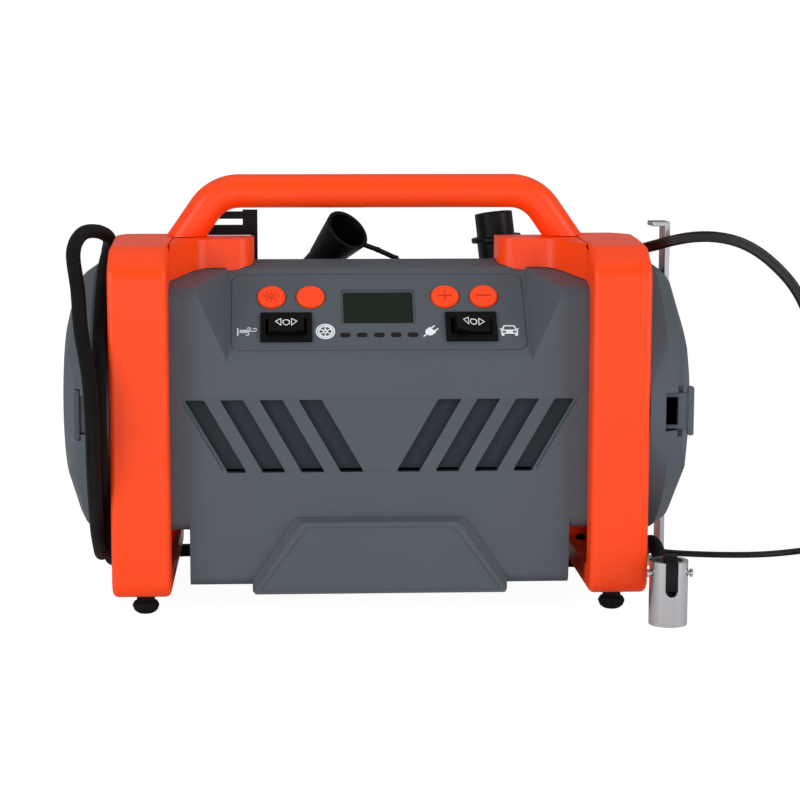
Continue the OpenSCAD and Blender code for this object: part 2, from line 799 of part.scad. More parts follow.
function ease(t) = 3 * t * t - 2 * t * t * t;
function station_index(a, i = 0) =
    i >= len(winding_stations) - 2 || a < winding_stations[i + 1][0] ? i : station_index(a, i + 1);
function station(a) = let (
    i = station_index(a),
    s = winding_stations[i],
    e = winding_stations[i + 1],
    t = ease((a - s[0]) / (e[0] - s[0]))
) [s[1] + (e[1] - s[1]) * t, s[2] + (e[2] - s[2]) * t];
function winding_point(a) = let (s = station(a))
    [-s[0], s[1] * cos(a), end_axis_z + s[1] * sin(a)];

winding_end = 630;
rings_per_loop = 24;
winding_route = concat(
    [[-gland_x, gland_y, gland_top]],
    [for (i = [0 : winding_end * rings_per_loop / 360]) winding_point(i * 360 / rings_per_loop)],
    [hose_route[0]]
);

function tangent(p, i) =
    i == 0 ? unit(p[1] - p[0]) :
    i == len(p) - 1 ? unit(p[i] - p[i - 1]) :
    unit(p[i + 1] - p[i - 1]);

// A normal at each point, carried along the route without twist.
function carried(p, n0) = [
    for (i = 0, n = n0; i < len(p);
        i = i + 1,
        n = i < len(p) ? unit(n - (n * tangent(p, i)) * tangent(p, i)) : n)
        n
];

// The same normals with a steady twist added, in degrees over the whole route.
function twisted(p, n, angle) = [for (i = [0 : len(p) - 1])
    let (a = angle * i / (len(p) - 1)) n[i] * cos(a) + cross(tangent(p, i), n[i]) * sin(a)];

// Level normals for a coil, so that a flat lead lies flat all the way.
function level(p) = [for (i = [0 : len(p) - 1]) unit(cross([0, 0, 1], tangent(p, i)))];

// Corner points of a tube with an oval section, one ring at each point of the route.
function tube_points(p, n, w, t, sides) = [
    for (i = [0 : len(p) - 1]) let (b = cross(tangent(p, i), n[i]))
        for (k = [0 : sides - 1])
            p[i] + w / 2 * cos(360 * k / sides) * n[i] + t / 2 * sin(360 * k / sides) * b
];

function tube_faces(rings, sides) = concat(
    [for (k = [1 : sides - 2]) [0, k + 1, k]],
    [for (i = [0 : rings - 2]) for (k = [0 : sides - 1])
        let (a = i * sides + k, b = i * sides + (k + 1) % sides) [a, b, b + sides]],
    [for (i = [0 : rings - 2]) for (k = [0 : sides - 1])
        let (a = i * sides + k, b = i * sides + (k + 1) % sides) [a, b + sides, a + sides]],
    [for (k = [1 : sides - 2]) let (o = (rings - 1) * sides) [o, o + k, o + k + 1]]
);

module tube(p, n, w, t, sides) {
    polyhedron(tube_points(p, n, w, t, sides), tube_faces(len(p), sides));
}

// Least distance between ring corners one or two turns apart.
function least_gap(p, n, w, t) = let (q = tube_points(p, n, w, t, 6)) min([
    for (i = [0 : len(p) - 1]) for (d = [-2 : 2]) for (m = [1, 2])
        let (j = i + m * rings_per_loop + d)
        if (j < len(p)) for (a = [0 : 5]) for (b = [0 : 5]) norm(q[i * 6 + a] - q[j * 6 + b])
]);

module air_hose_winding() {
    color(black) tube(winding_route, carried(winding_route, [1, 0, 0]), hose_d, hose_d, 6);
    echo(hose_winding_least_gap =
        least_gap(winding_route, carried(winding_route, [1, 0, 0]), hose_d, hose_d));
}

module air_hose() {
    color(black) tube(hose_route, carried(hose_route, [1, 0, 0]), hose_d, hose_d, 8);
}

// ---- tyre chuck -------------------------------------------------------------------------------------

module chuck_barrel() {
    color(steel) difference() {
        union() {
            rod_z(chuck_x, chuck_y, 0, chuck_h, chuck_r);
            translate(neck_root) rotate([chuck_neck_tilt - 90, 0, 0]) {
                cylinder(h = neck_len - 4, r = 5.2, $fn = fine);
                cylinder(h = neck_len, r = 4.3, $fn = fine);
            }
        }
        rod_z(chuck_x, chuck_y, seal_h, chuck_h + over, chuck_bore_r);
        rod_z(chuck_x, chuck_y, 1, seal_h + over, 6.5);
        rod_z(chuck_x, chuck_y, -over, 2, 4.6);
        box([chuck_x - chuck_slot_w / 2, chuck_x + chuck_slot_w / 2],
            [chuck_y - chuck_d, chuck_y], [chuck_slot_z, chuck_h + over]);
        rod_y(chuck_x, chuck_y - chuck_d, chuck_y, chuck_slot_z, chuck_slot_w / 2);
        rod_x(chuck_x - 14, chuck_x + 14, chuck_pin_y, chuck_pin_z, 1.25);
    }
}

module chuck_seal() {
    color(black) difference() {
        rod_z(chuck_x, chuck_y, 2, seal_h, 6.5 - 0.02);
        rod_z(chuck_x, chuck_y, 1, seal_h - 2, seal_r);
        rod_z(chuck_x, chuck_y, 1, seal_h + 1, 1.2);
    }
}

module chuck_pin() {
    color(steel) {
        rod_x(chuck_x - 12.4, chuck_x + 12.4, chuck_pin_y, chuck_pin_z, 1.25);
        for (x = [-12.4, 11]) rod_x(chuck_x + x, chuck_x + x + 1.4, chuck_pin_y, chuck_pin_z, 2.2);
    }
}

module chuck_lever() {
    color(black) difference() {
        translate([chuck_x - chuck_slot_w / 2 + 0.35, chuck_y, 0]) rotate([90, 0, 90])
            linear_extrude(chuck_slot_w - 0.7)
                polygon([[-7, 38.6], [-0.5, 38.6], [0.6, 34], [0.6, 27], [-2, 24],
                    [-6.5, 22.4], [-7.6, 19.8], [-9.8, 19.6], [-10.6, 24], [-9.6, 33]]);
        rod_x(chuck_x - 14, chuck_x + 14, chuck_pin_y, chuck_pin_z, 1.25 + run_fit);
    }
}

// ---- leads ----------------------------------------------------------------------------------------------

mains_gland = [152.2, 82.2, 96];
mains_hole_z = 90;
relief_root_r = 3.6;
relief_len = 24;

// Mains lead: up behind the right end, over its top, out past the bracket and down to the ground.
mains_route = [[152.2, 82.2, 120], [152.2, 81.8, 128], [152.2, 78.6, 142], [152.4, 72, 155.5],
    [152.6, 62, 168], [152.7, 50, 178.5], [152.8, 36, 187], [152.8, 21, 192.5],
    [153, 7, 195], [154.5, -6, 197], [158.8, -17, 199.3], [166.5, -25, 202.2],
    [177.5, -29, 204.4], [190, -29.5, 204.4], [203, -28, 201.6], [215.5, -25.5, 195.5],
    [227, -23, 186.5], [237, -20, 176], [245, -17.5, 163], [250.5, -15, 148],
    [254, -13, 131], [256, -11.5, 112], [257, -10.5, 92], [257.5, -9.5, 72], [258, -8.7, 50],
    [258.5, -8, 30], [259.6, -5.9, 19.3], [261, 0.2, 10.2], [262.6, 9.3, 4.1], [263.5, 19, 2],
    [263.5, 26, 2]];

// Car lead: out of the back, down to the ground and along it to the right.
car_route = [[95, 90, 27], [95, 97, 25.8], [97, 107.9, 22.7], [101.9, 117.5, 18.7],
    [109.8, 125, 14.2], [119.9, 129.3, 9.9], [131.1, 129.9, 6.1], [142.1, 126.8, 3.3],
    [151.9, 120.4, 1.9], [159.5, 111.5, 1.9], [164.5, 101, 1.9], [168.8, 90, 1.9], [176, 80.5, 1.9],
    [190, 72, 1.9], [206, 67.5, 1.9], [222, 65, 1.9], [238, 64.8, 1.9], [252, 67.5, 1.9],
    [265, 72.5, 1.9], [277, 78, 1.9], [288, 81.6, 1.9], [299, 83, 1.9], [312, 83, 1.9],
    [326.2, 83, 1.9]];

function triangle(u) = let (f = u - 2 * floor(u / 2)) f < 1 ? f : 2 - f;
function climb(u, turns) = let (
    k = floor(u / turns + 0.5),
    f = u - k * turns
) k == 0 ? 0 : (k - 1) + ease(min(max((f + 0.25) * 2, 0), 1));

// One unbroken coil: it spirals in and out by layers and climbs where the spiral reverses.
function coil_point(u, c) = let (
    r = c[3] - (c[3] - c[2]) * triangle(u / c[4]),
    a = c[6] + c[7] * 360 * u,
    lift = u > c[4] * c[5] - 0.3 ? c[5] - 1 : climb(u, c[4])
) [c[0] + r * cos(a), c[1] + r * sin(a), c[8] + lift * c[9]];

// Centre x, y, inner and outer radius, turns per layer, layers, start angle, way round, z, rise.
mains_twist = 33.8;
lead_rise = lead_t + 0.7;
lead_pitch = lead_w + 0.6;
coil_r = 44;
straight = 6.2;
mains_turns = 3.25;
car_turns = 3.0625;
mains_coil = [263.5 + coil_r, 26 + straight, coil_r - mains_turns * lead_pitch, coil_r,
    mains_turns, 2, 180, -1, 2, lead_rise];
car_coil = [326.2 + straight, 83 + coil_r, coil_r - car_turns * lead_pitch, coil_r, car_turns,
    4, -90, 1, 1.9, lead_rise];

function coil_heading(a, way) = way * [-sin(a), cos(a), 0];
function coil_last(c) = c[6] + c[7] * 360 * c[4] * c[5];

// The coil with one straight diameter before it and a straight run into the plug behind it.
function coil_route(c) = concat(
    [coil_point(0, c) - straight * coil_heading(c[6], c[7])],
    [for (i = [0 : c[4] * c[5] * rings_per_loop]) coil_point(i / rings_per_loop, c)],
    [coil_point(c[4] * c[5], c) + (straight + 1) * coil_heading(coil_last(c), c[7])]
);

// Places a plug at the end of a coil, with X as the way forward.
module at_coil_end(c) {
    translate(coil_point(c[4] * c[5], c) + (straight + 1) * coil_heading(coil_last(c), c[7]))
        rotate([0, 0, coil_last(c) + 90 * c[7]]) children();
}

module mains_lead() {
    n = twisted(mains_route, carried(mains_route, [0, 1, 0]), mains_twist);
    color(black) tube(mains_route, n, lead_w, lead_t, 8);
    echo(mains_end_normal = n[len(n) - 1]);
}

module car_lead() {
    color(black) tube(car_route, level(car_route), lead_w, lead_t, 8);
}

module lead_coil(c) {
    p = coil_route(c);
    color(black) tube(p, level(p), lead_w, lead_t, 6);
    echo(coil_least_gap = least_gap(p, level(p), lead_w, lead_t));
}

module mains_lead_coil() { lead_coil(mains_coil); }
module car_lead_coil() { lead_coil(car_coil); }

module mains_strain_relief() {
    color(black) {
        translate(mains_gland) cylinder(h = relief_len, r1 = 4.7, r2 = 3.7, $fn = fine);
        rod_z(mains_gland[0], mains_gland[1], mains_hole_z - 4.4, mains_gland[2], 4.4);
        rod_y(mains_gland[0], 61, mains_gland[1], mains_hole_z, relief_root_r);
    }
}

module car_strain_relief() {
    color(black) {
        translate([car_gland_x, body_half_d + 2, car_gland_z]) rotate([-90, 0, 0])
            cylinder(h = 24, r1 = 5.4, r2 = 3.6, $fn = fine);
        rod_y(car_gland_x, body_half_d, body_half_d + 2, car_gland_z, gland_r + 1.5);
        rod_y(car_gland_x, body_half_d - wall - 2, body_half_d, car_gland_z, gland_r - 0.1);
    }
}

plug_t = 13.7;
plug_lift = plug_t / 2 + 0.1 - (mains_coil[8] + lead_rise);
plug_pin_r = 2;
plug_pin_pitch = 19;
plug_pin_len = 19;
plug_front = 58;

module mains_plug_body() {
    color(black) at_coil_end(mains_coil) difference() {
        union() {
            rotate([0, 90, 0]) cylinder(h = relief_len, r1 = 3.7, r2 = 5, $fn = fine);
            translate([0, 0, plug_lift - plug_t / 2]) linear_extrude(plug_t)
                polygon(rounded([[relief_len - 1, -7, 2], [relief_len - 1, 7, 2],
                    [relief_len + 14, 17.6, 5], [plug_front - 9, 17.6, 4], [plug_front, 13, 2],
                    [plug_front, -13, 2], [plug_front - 9, -17.6, 4], [relief_len + 14, -17.6, 5]]));
        }
        for (y = [-1, 1]) translate([plug_front - 10, y * plug_pin_pitch / 2, plug_lift])
            rotate([0, 90, 0]) cylinder(h = 12, r = plug_pin_r - 0.4, $fn = fine);
    }
}

module mains_plug_pins() {
    color(steel) at_coil_end(mains_coil) for (y = [-1, 1])
        translate([plug_front, y * plug_pin_pitch / 2, plug_lift]) rotate([0, 90, 0]) {
            translate([0, 0, -9]) cylinder(h = 10, r = plug_pin_r - 0.42, $fn = fine);
            cylinder(h = plug_pin_len, r = plug_pin_r, $fn = fine);
            translate([0, 0, plug_pin_len])
                cylinder(h = 1, r1 = plug_pin_r, r2 = 1.2, $fn = fine);
        }
}

car_grip_r = 12.2;
car_barrel_r = 10.4;
car_lift = car_grip_r + 0.1 - (car_coil[8] + 3 * lead_rise);
car_grip_end = relief_len + 30;
car_barrel_end = car_grip_end + 36;
tip_travel = 2.5;
tip_r = 3.6;
side_w = 3.4;

module car_plug_body() {
    color(black) at_coil_end(car_coil) difference() {
        union() {
            box([0, relief_len - 5], [-4.3, 4.3], [-1.95, 1.95]);
            translate([relief_len - 6, 0, 0]) rotate([0, 90, 0])
                cylinder(h = 7, r1 = 3.9, r2 = 6.2, $fn = fine);
            translate([relief_len, 0, car_lift]) rotate([0, 90, 0]) {
                cylinder(h = 6, r1 = 8.5, r2 = car_grip_r, $fn = fine);
                translate([0, 0, 6]) cylinder(h = 20, r = car_grip_r, $fn = fine);
                translate([0, 0, 26])
                    cylinder(h = 4, r1 = car_grip_r, r2 = car_barrel_r, $fn = fine);
                translate([0, 0, 30]) cylinder(h = 21.4, r = car_barrel_r - 0.2, $fn = fine);
                translate([0, 0, 51.4]) cylinder(h = 14.6, r = car_barrel_r, $fn = fine);
                translate([0, 0, 66]) cylinder(h = 5, r1 = car_barrel_r - 1, r2 = 7, $fn = fine);
            }
        }
        translate([car_barrel_end - 14, 0, car_lift]) rotate([0, 90, 0])
            cylinder(h = 30, r = tip_r + 0.05, $fn = fine);
        translate([car_barrel_end - 14, 0, car_lift]) rotate([0, 90, 0])
            cylinder(h = 12.6, r = tip_r + 1.1, $fn = fine);
        for (y = [-1, 1]) translate([car_grip_end + 12, y * (car_barrel_r - 1.1), car_lift])
            cube([18.4, 4, side_w + 0.4], center = true);
    }
}

module car_plug_tip() {
    color(steel) at_coil_end(car_coil) translate([car_barrel_end - 4.4, 0, car_lift])
        rotate([0, 90, 0]) {
            cylinder(h = 2.7, r = tip_r + 1, $fn = fine);
            cylinder(h = 13.5, r = tip_r, $fn = fine);
            translate([0, 0, 13.5]) cylinder(h = 2.2, r1 = tip_r, r2 = 1.2, $fn = fine);
        }
}

module car_plug_side_contacts() {
    color(steel) at_coil_end(car_coil) for (a = [0, 180])
        translate([car_grip_end + 12, 0, car_lift]) rotate([a, 0, 0])
            linear_extrude(side_w, center = true)
                polygon([[-9, car_barrel_r - 3.05], [-7.5, car_barrel_r - 2], [-2.5, car_barrel_r + 0.9],
                    [2.5, car_barrel_r + 0.9], [7.5, car_barrel_r - 2], [9, car_barrel_r - 3.05],
                    [9, car_barrel_r - 2.3], [8, car_barrel_r - 1.3], [3, car_barrel_r + 1.5],
                    [-3, car_barrel_r + 1.5], [-8, car_barrel_r - 1.3], [-9, car_barrel_r - 2.3]]);
}

// ---- things behind the deck ------------------------------------------------------------------------------

nozzle_x = 78.3;
nozzle_y = 52;
nozzle_z = 171;
nozzle_lean = 7;
nozzle_bore_r = 9;
peg_r = 8.6;
rack_s = 34;
hook_y = [41, 46];
cap_at = [-29.4, 46, 188];
cap_tilt = 40;
cap_lean = 35;
cap_r = [8.6, 13.8];
cap_h = 28;
cap_wall = 2;
cap_pin_r = 3;
strap_r = 1.5;
strap_route = [[-5, 30.2, 196.9], [3, 33, 193.8], [14, 37, 188.6], [22, 41.5, 179], [28, 44, 169.6]];

module at_nozzle() {
    translate([nozzle_x, nozzle_y, nozzle_z]) rotate([0, -nozzle_lean, 0]) children();
}

module at_cap() {
    translate(cap_at) rotate([cap_lean, cap_tilt, 0]) children();
}

module blower_nozzle() {
    color(black) at_nozzle() difference() {
        union() {
            cylinder(h = 28, r = 11.6, $fn = fine);
            translate([0, 0, 27]) cylinder(h = 3, r = 14.8, $fn = fine);
            translate([0, 0, 30]) cylinder(h = 14, r = 11.2, $fn = fine);
        }
        translate([0, 0, -over]) cylinder(h = 60, r = nozzle_bore_r, $fn = fine);
    }
}

// One moulding on the back slope: a base with a peg, a hook frame and a pin.
module accessory_rack() {
    color(black) difference() {
        union() {
            on_rear_slope(0, rack_s, gap) slab(2 * cheek_x - 3, 16, 3, 0, 3.5);
            at_nozzle() {
                translate([0, 0, -20]) cylinder(h = 20, r = 11.6, $fn = fine);
                cylinder(h = 18, r = peg_r, $fn = fine);
            }
            box([-71.2, -67.4], hook_y, [150, 217]);
            box([-76.1, -67.4], hook_y, [202.1, 217]);
            box([-104, -76], hook_y, [211.6, 215.9]);
            box([-104, -76], hook_y, [202.1, 208]);
            box([-108, -103.9], hook_y, [202.1, 215.9]);
            at_cap() {
                translate([0, 0, -9]) cylinder(h = 9, r = 8, $fn = fine);
                cylinder(h = 9, r = cap_pin_r, $fn = fine);
            }
            rod_z(cap_at[0] - 1.3, cap_at[1] + 1.4, 150, cap_at[2] - 6, 6);
        }
        body_shape(150, body_base, gap);
    }
}

module rod(p, q, r) {
    d = q - p;
    translate(p) rotate([0, acos(d[2] / norm(d)), atan2(d[1], d[0])])
        cylinder(h = norm(d), r = r, $fn = 24);
}

// The cap of the blower port, put by on its pin, with its strap.
module port_cap() {
    color(black) {
        at_cap() difference() {
            cylinder(h = cap_h, r1 = cap_r[0], r2 = cap_r[1], $fn = fine);
            translate([0, 0, 3])
                cylinder(h = cap_h, r1 = cap_r[0] - cap_wall, r2 = cap_r[1] - cap_wall + 0.5, $fn = fine);
            translate([0, 0, -over]) cylinder(h = 6, r = cap_pin_r + 0.1, $fn = fine);
        }
        for (i = [0 : len(strap_route) - 2]) rod(strap_route[i], strap_route[i + 1], strap_r);
        for (i = [1 : len(strap_route) - 2]) translate(strap_route[i])
            sphere(r = strap_r + 0.25, $fn = 24);
    }
}

module work_light() {
    color("#e9edf0") translate([lamp_x, body_half_d - 6, lamp_z]) rotate([-90, 0, 0])
        slab(lamp_w, lamp_h, 4, 0, 6.6);
}

// ---- pump --------------------------------------------------------------------------------------------------

pump_x = -66;
gear_r = gear_module * crank_teeth / 2;
pinion_r = gear_module * pinion_teeth / 2;
motor_z = 60;
gear_z = motor_z + gear_r + pinion_r;
case_x = [-49, -45];
gear_x = [-57, -51];
rod_x0 = pump_x - 3;
rod_half = 3;
rod_len = 36;
crank_pin_z = gear_z + crank_r;
wrist_z = crank_pin_z + rod_len;
shelf_z = gear_z + gear_r + 2;
bore_r = bore_d / 2;
stub_r = 3;
pin_r = 3;
pressure_angle = 25;

function involute(base_r, a) = base_r * [cos(a) + a * PI / 180 * sin(a), sin(a) - a * PI / 180 * cos(a)];
function involute_roll(base_r, r) = sqrt(max(pow(r / base_r, 2) - 1, 0)) * 180 / PI;
function polar(p) = [norm(p), atan2(p[1], p[0])];

// One gear outline: involute flanks in five steps, root and tip as straight lands.
function gear_outline(teeth, m, slack) = let (
    pr = m * teeth / 2,
    br = pr * cos(pressure_angle),
    tip = pr + 0.9 * m,
    root = pr - 1.25 * m,
    pitch_ang = polar(involute(br, involute_roll(br, pr)))[1],
    half = 90 / teeth - slack / pr * 180 / PI + pitch_ang
) [
    for (k = [0 : teeth - 1]) let (c = 360 * k / teeth)
        for (s = [-1, 1]) for (j = s < 0 ? [0 : 5] : [5 : -1 : 0])
            let (
                r = j == 0 ? root : max(br, root) + (tip - max(br, root)) * (j - 1) / 4,
                q = j == 0 ? 0 : polar(involute(br, involute_roll(br, r)))[1],
                ang = c + s * (half - q)
            )
            r * [cos(ang), sin(ang)]
];

module pump_pinion() {
    color(steel) {
        difference() {
            translate([gear_x[0] + 0.5, 0, motor_z]) rotate([0, 90, 0]) rotate([0, 0, 180 / pinion_teeth])
                linear_extrude(gear_x[1] - gear_x[0] - 0.5)
                    polygon(gear_outline(pinion_teeth, gear_module, 0.12));
        }
        rod_x(gear_x[0], case_x[1] + 1, 0, motor_z, 1.6);
    }
}

module crank_gear() {
    color(steel) {
        difference() {
            union() {
                translate([gear_x[0], 0, gear_z]) rotate([0, 90, 0])
                    linear_extrude(gear_x[1] - gear_x[0])
                        polygon(gear_outline(crank_teeth, gear_module, 0.12));
                intersection() {
                    rod_x(gear_x[0] - 3, gear_x[0] + 0.1, 0, gear_z, gear_r - 3);
                    box([-100, 0], [-30, 30], [gear_z - 30, gear_z - 2]);
                }
            }
            rod_x(gear_x[0] + 1, gear_x[1] + over, 0, gear_z, stub_r + run_fit);
        }
        rod_x(pump_x - rod_half - 2, gear_x[0] + 0.1, 0, crank_pin_z, pin_r);
    }
}

module connecting_rod() {
    color("#9aa0a6") difference() {
        union() {
            rod_x(pump_x - rod_half, pump_x + rod_half, 0, crank_pin_z, pin_r + 3.2);
            rod_x(pump_x - rod_half, pump_x + rod_half, 0, wrist_z, 5);
            box([pump_x - rod_half + 0.5, pump_x + rod_half - 0.5], [-3, 3],
                [crank_pin_z + 4, wrist_z - 2]);
        }
        rod_x(pump_x - 10, pump_x + 10, 0, crank_pin_z, pin_r + run_fit);
        rod_x(pump_x - 10, pump_x + 10, 0, wrist_z, 2);
    }
}

piston_top = wrist_z + 5 + 2 * crank_r + 4;
piston_base = wrist_z - 5;
cylinder_top = piston_top + 3;

module piston() {
    color("#5a5e62") {
        difference() {
            rod_z(pump_x, 0, piston_base, piston_top, bore_r - run_fit);
            rod_z(pump_x, 0, piston_base - over, piston_top - 3, bore_r - 2.2);
        }
        for (s = [-1, 1]) rod_x(pump_x + s * 8.2 - 4, pump_x + s * 8.2 + 4, 0, wrist_z, 2);
    }
}

module crankcase() {
    color("#8d9298") {
        difference() {
            box(case_x, [-24, 24], [body_base + wall, shelf_z + 4]);
            rod_x(case_x[0] - over, case_x[1] + over, 0, motor_z, 6);
        }
        rod_x(gear_x[0] + 1.3, case_x[0] + 0.1, 0, gear_z, stub_r);
        difference() {
            box([pump_x - bore_r - 5, case_x[0] + 0.1], [-24, 24], [shelf_z, shelf_z + 4]);
            rod_z(pump_x, 0, shelf_z - over, shelf_z + 5, bore_r);
        }
    }
}

module pump_cylinder() {
    color("#a3a8ad") difference() {
        union() {
            rod_z(pump_x, 0, shelf_z + 4, cylinder_top, bore_r + 2.5);
            for (i = [0 : 4]) rod_z(pump_x, 0, shelf_z + 8 + i * 6, shelf_z + 9.5 + i * 6, bore_r + 6);
        }
        rod_z(pump_x, 0, shelf_z, cylinder_top + over, bore_r);
    }
}

module cylinder_head() {
    color("#a3a8ad") {
        translate([pump_x, 0, 0]) slab(2 * bore_r + 10, 2 * bore_r + 10, 4, cylinder_top,
            cylinder_top + 7);
        rod_x(pump_x - bore_r - 13, pump_x, 0, cylinder_top + 4, 2.6);
    }
}

module pump_motor() {
    color("#6d7277") {
        difference() {
            rod_x(case_x[1], case_x[1] + 60, 0, motor_z, 21);
            rod_x(case_x[1] - over, case_x[1] + 1.2, 0, motor_z, 3);
        }
        rod_x(case_x[1] + 60, case_x[1] + 64, 0, motor_z, 6);
    }
}

// ---- blower ----------------------------------------------------------------------------------------------

fan_z = 95;
fan_x = [38, 56];
fan_case_x = [35.5, 60];
fan_case_r = impeller_d / 2 + 5;
fan_blades = 12;
fan_shaft_r = 2;

module blower_impeller() {
    color("#2c3136") difference() {
        union() {
            rod_x(fan_x[1] - 2, fan_x[1], 0, fan_z, impeller_d / 2);
            rod_x(fan_x[0], fan_x[1], 0, fan_z, 8);
            for (i = [0 : fan_blades - 1]) translate([0, 0, fan_z]) rotate([i * 360 / fan_blades, 0, 0])
                box([fan_x[0], fan_x[1] - 1], [7, impeller_d / 2 - 0.5], [-0.8, 0.8]);
        }
        rod_x(fan_x[0] - over, fan_x[1] + over, 0, fan_z, fan_shaft_r + run_fit);
    }
}

module blower_casing() {
    color("#3b4147") difference() {
        union() {
            rod_x(fan_case_x[0], fan_case_x[1], 0, fan_z, fan_case_r + 2);
            rod_y(port_x, 0, body_half_d + 6, port_z, port_r);
            box([fan_case_x[1] - 3, fan_case_x[1]], [-20, 20], [body_base + wall, fan_z - 20]);
        }
        rod_x(fan_case_x[0] + 2, fan_case_x[1] - 2, 0, fan_z, fan_case_r);
        rod_x(fan_case_x[0] - over, fan_case_x[0] + 3, 0, fan_z, 20);
        rod_x(fan_case_x[1] - 3, fan_case_x[1] + over, 0, fan_z, 7);
        rod_y(port_x, 12, port_bore_y, port_z, port_r - 2);
        rod_y(port_x, port_bore_y - 0.1, body_half_d + 6 + over, port_z, port_r - 3);
    }
}

module blower_motor() {
    color("#6d7277") {
        rod_x(fan_case_x[1], fan_case_x[1] + 38, 0, fan_z, 18);
        rod_x(fan_x[0] + 2, fan_case_x[1] + 1, 0, fan_z, fan_shaft_r);
    }
}

module power_board() {
    color("#2f5d3a") {
        box([-40, 54], [-48, 48], [21, 22.6]);
        for (x = [-36, 50]) for (y = [-44, 44]) rod_z(x, y, body_base + wall, 21.1, 2.5);
    }
    color(black) {
        box([8, 34], [26, 46], [22.5, 46]);
        box([-34, -16], [28, 44], [22.5, 44]);
        for (x = [-34 : 14 : 40]) rod_z(x, -36, 22.5, 38, 5);
    }
}

front_shell();
rear_shell();
left_frame_loop();
right_frame_loop();
carry_handle();
control_panel();
lcd_window();
lcd_module();
light_button();
unit_button();
plus_button();
minus_button();
rocker_bezels();
mode_paddle();
power_paddle();
indicator_lenses();
lower_front_plate();
left_end_cover();
right_end_cover();
left_hose_keeper();
right_cord_keeper();
winding_bracket();
rubber_feet();
end_plates();
hose_gland();
air_hose_winding();
air_hose();
chuck_barrel();
chuck_lever();
chuck_pin();
chuck_seal();
mains_lead();
mains_lead_coil();
mains_strain_relief();
mains_plug_body();
mains_plug_pins();
car_lead();
car_lead_coil();
car_strain_relief();
car_plug_body();
car_plug_tip();
car_plug_side_contacts();
blower_nozzle();
accessory_rack();
port_cap();
pump_motor();
pump_pinion();
crank_gear();
connecting_rod();
piston();
crankcase();
pump_cylinder();
cylinder_head();
blower_motor();
blower_impeller();
blower_casing();
control_board();
power_board();
work_light();
shell_screws();
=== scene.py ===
# %% [markdown]
# A tyre inflator that runs from the mains or from a car: a grey plastic body hangs between two
# orange frame loops with a carry handle, the air hose is wound on the left end, and two leads
# leave on the right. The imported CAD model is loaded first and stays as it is. Everything that
# follows dresses it: softer edges, finishes, the braided hose and the leads.

import json
import math

import bmesh
import bpy
from mathutils import Matrix, Vector


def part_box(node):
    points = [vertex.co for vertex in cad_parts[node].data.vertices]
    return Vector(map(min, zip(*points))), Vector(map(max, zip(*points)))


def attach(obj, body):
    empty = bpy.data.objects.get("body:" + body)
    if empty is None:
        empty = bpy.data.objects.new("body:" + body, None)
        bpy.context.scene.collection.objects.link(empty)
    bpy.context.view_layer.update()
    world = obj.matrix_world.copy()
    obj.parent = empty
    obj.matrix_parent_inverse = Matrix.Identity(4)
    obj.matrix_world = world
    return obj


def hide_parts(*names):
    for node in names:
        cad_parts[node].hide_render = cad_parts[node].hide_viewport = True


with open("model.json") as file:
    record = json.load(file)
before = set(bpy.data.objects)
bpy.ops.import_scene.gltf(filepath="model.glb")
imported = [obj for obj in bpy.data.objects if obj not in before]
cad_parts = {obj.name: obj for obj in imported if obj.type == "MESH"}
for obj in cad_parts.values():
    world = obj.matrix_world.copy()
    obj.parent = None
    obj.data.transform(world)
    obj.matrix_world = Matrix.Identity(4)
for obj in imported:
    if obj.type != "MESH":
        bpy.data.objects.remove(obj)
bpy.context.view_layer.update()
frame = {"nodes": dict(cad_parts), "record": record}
MM = 0.001

# %% [markdown]
# The camera stands a little left of the middle, a bit higher than the handle, and looks slightly
# down with a long lens, so the two loops stay nearly upright. Its place is given in millimetres.

# %% Camera
CAMERA_AT = (-53.0, -1178.0, 273.0)
CAMERA_PITCH = 7.905
CAMERA_YAW = 2.6
FOCAL_PX = 2063.0
SHIFT_PX = 24.2

lens = bpy.data.cameras.new("camera")
lens.sensor_width = 36.0
lens.lens = FOCAL_PX / 800 * 36.0
lens.shift_x = SHIFT_PX / 800
lens.clip_end = 20.0
camera = bpy.data.objects.new("camera", lens)
camera.location = Vector(CAMERA_AT) * MM
camera.rotation_euler = (math.radians(90 - CAMERA_PITCH), 0, math.radians(-CAMERA_YAW))
bpy.context.collection.objects.link(camera)
bpy.context.scene.camera = camera
bpy.context.scene.view_settings.view_transform = "Standard"
print("camera lens", round(lens.lens, 1), "mm")

# %% [markdown]
# Colours are written as sRGB hex values, as in any paint program, and turned to the linear values
# that the renderer works with. One small function adds a shader node and wires it up.

# %% Colour and node helpers
def linear(hex_colour):
    values = []
    for i in (1, 3, 5):
        c = int(hex_colour[i:i + 2], 16) / 255
        values.append(c / 12.92 if c <= 0.04045 else ((c + 0.055) / 1.055) ** 2.4)
    return (*values, 1.0)


def add(tree, kind, links=None, **settings):
    node = tree.nodes.new(kind)
    for name, value in settings.items():
        if hasattr(node, name):
            setattr(node, name, value)
        else:
            node.inputs[name.replace("_", " ")].default_value = value
    for name, source in (links or {}).items():
        tree.links.new(source, node.inputs[name])
    return node


def new_material(name, **settings):
    material = bpy.data.materials.new(name)
    material.use_nodes = True
    tree = material.node_tree
    shader = tree.nodes["Principled BSDF"]
    for key, value in settings.items():
        shader.inputs[key.replace("_", " ")].default_value = value
    return material, tree, shader

# %% [markdown]
# The floor and backdrop are one plain pale sheet, and the light comes from large soft lamps, as
# in a product studio. The world adds an even fill and shows as white behind everything.

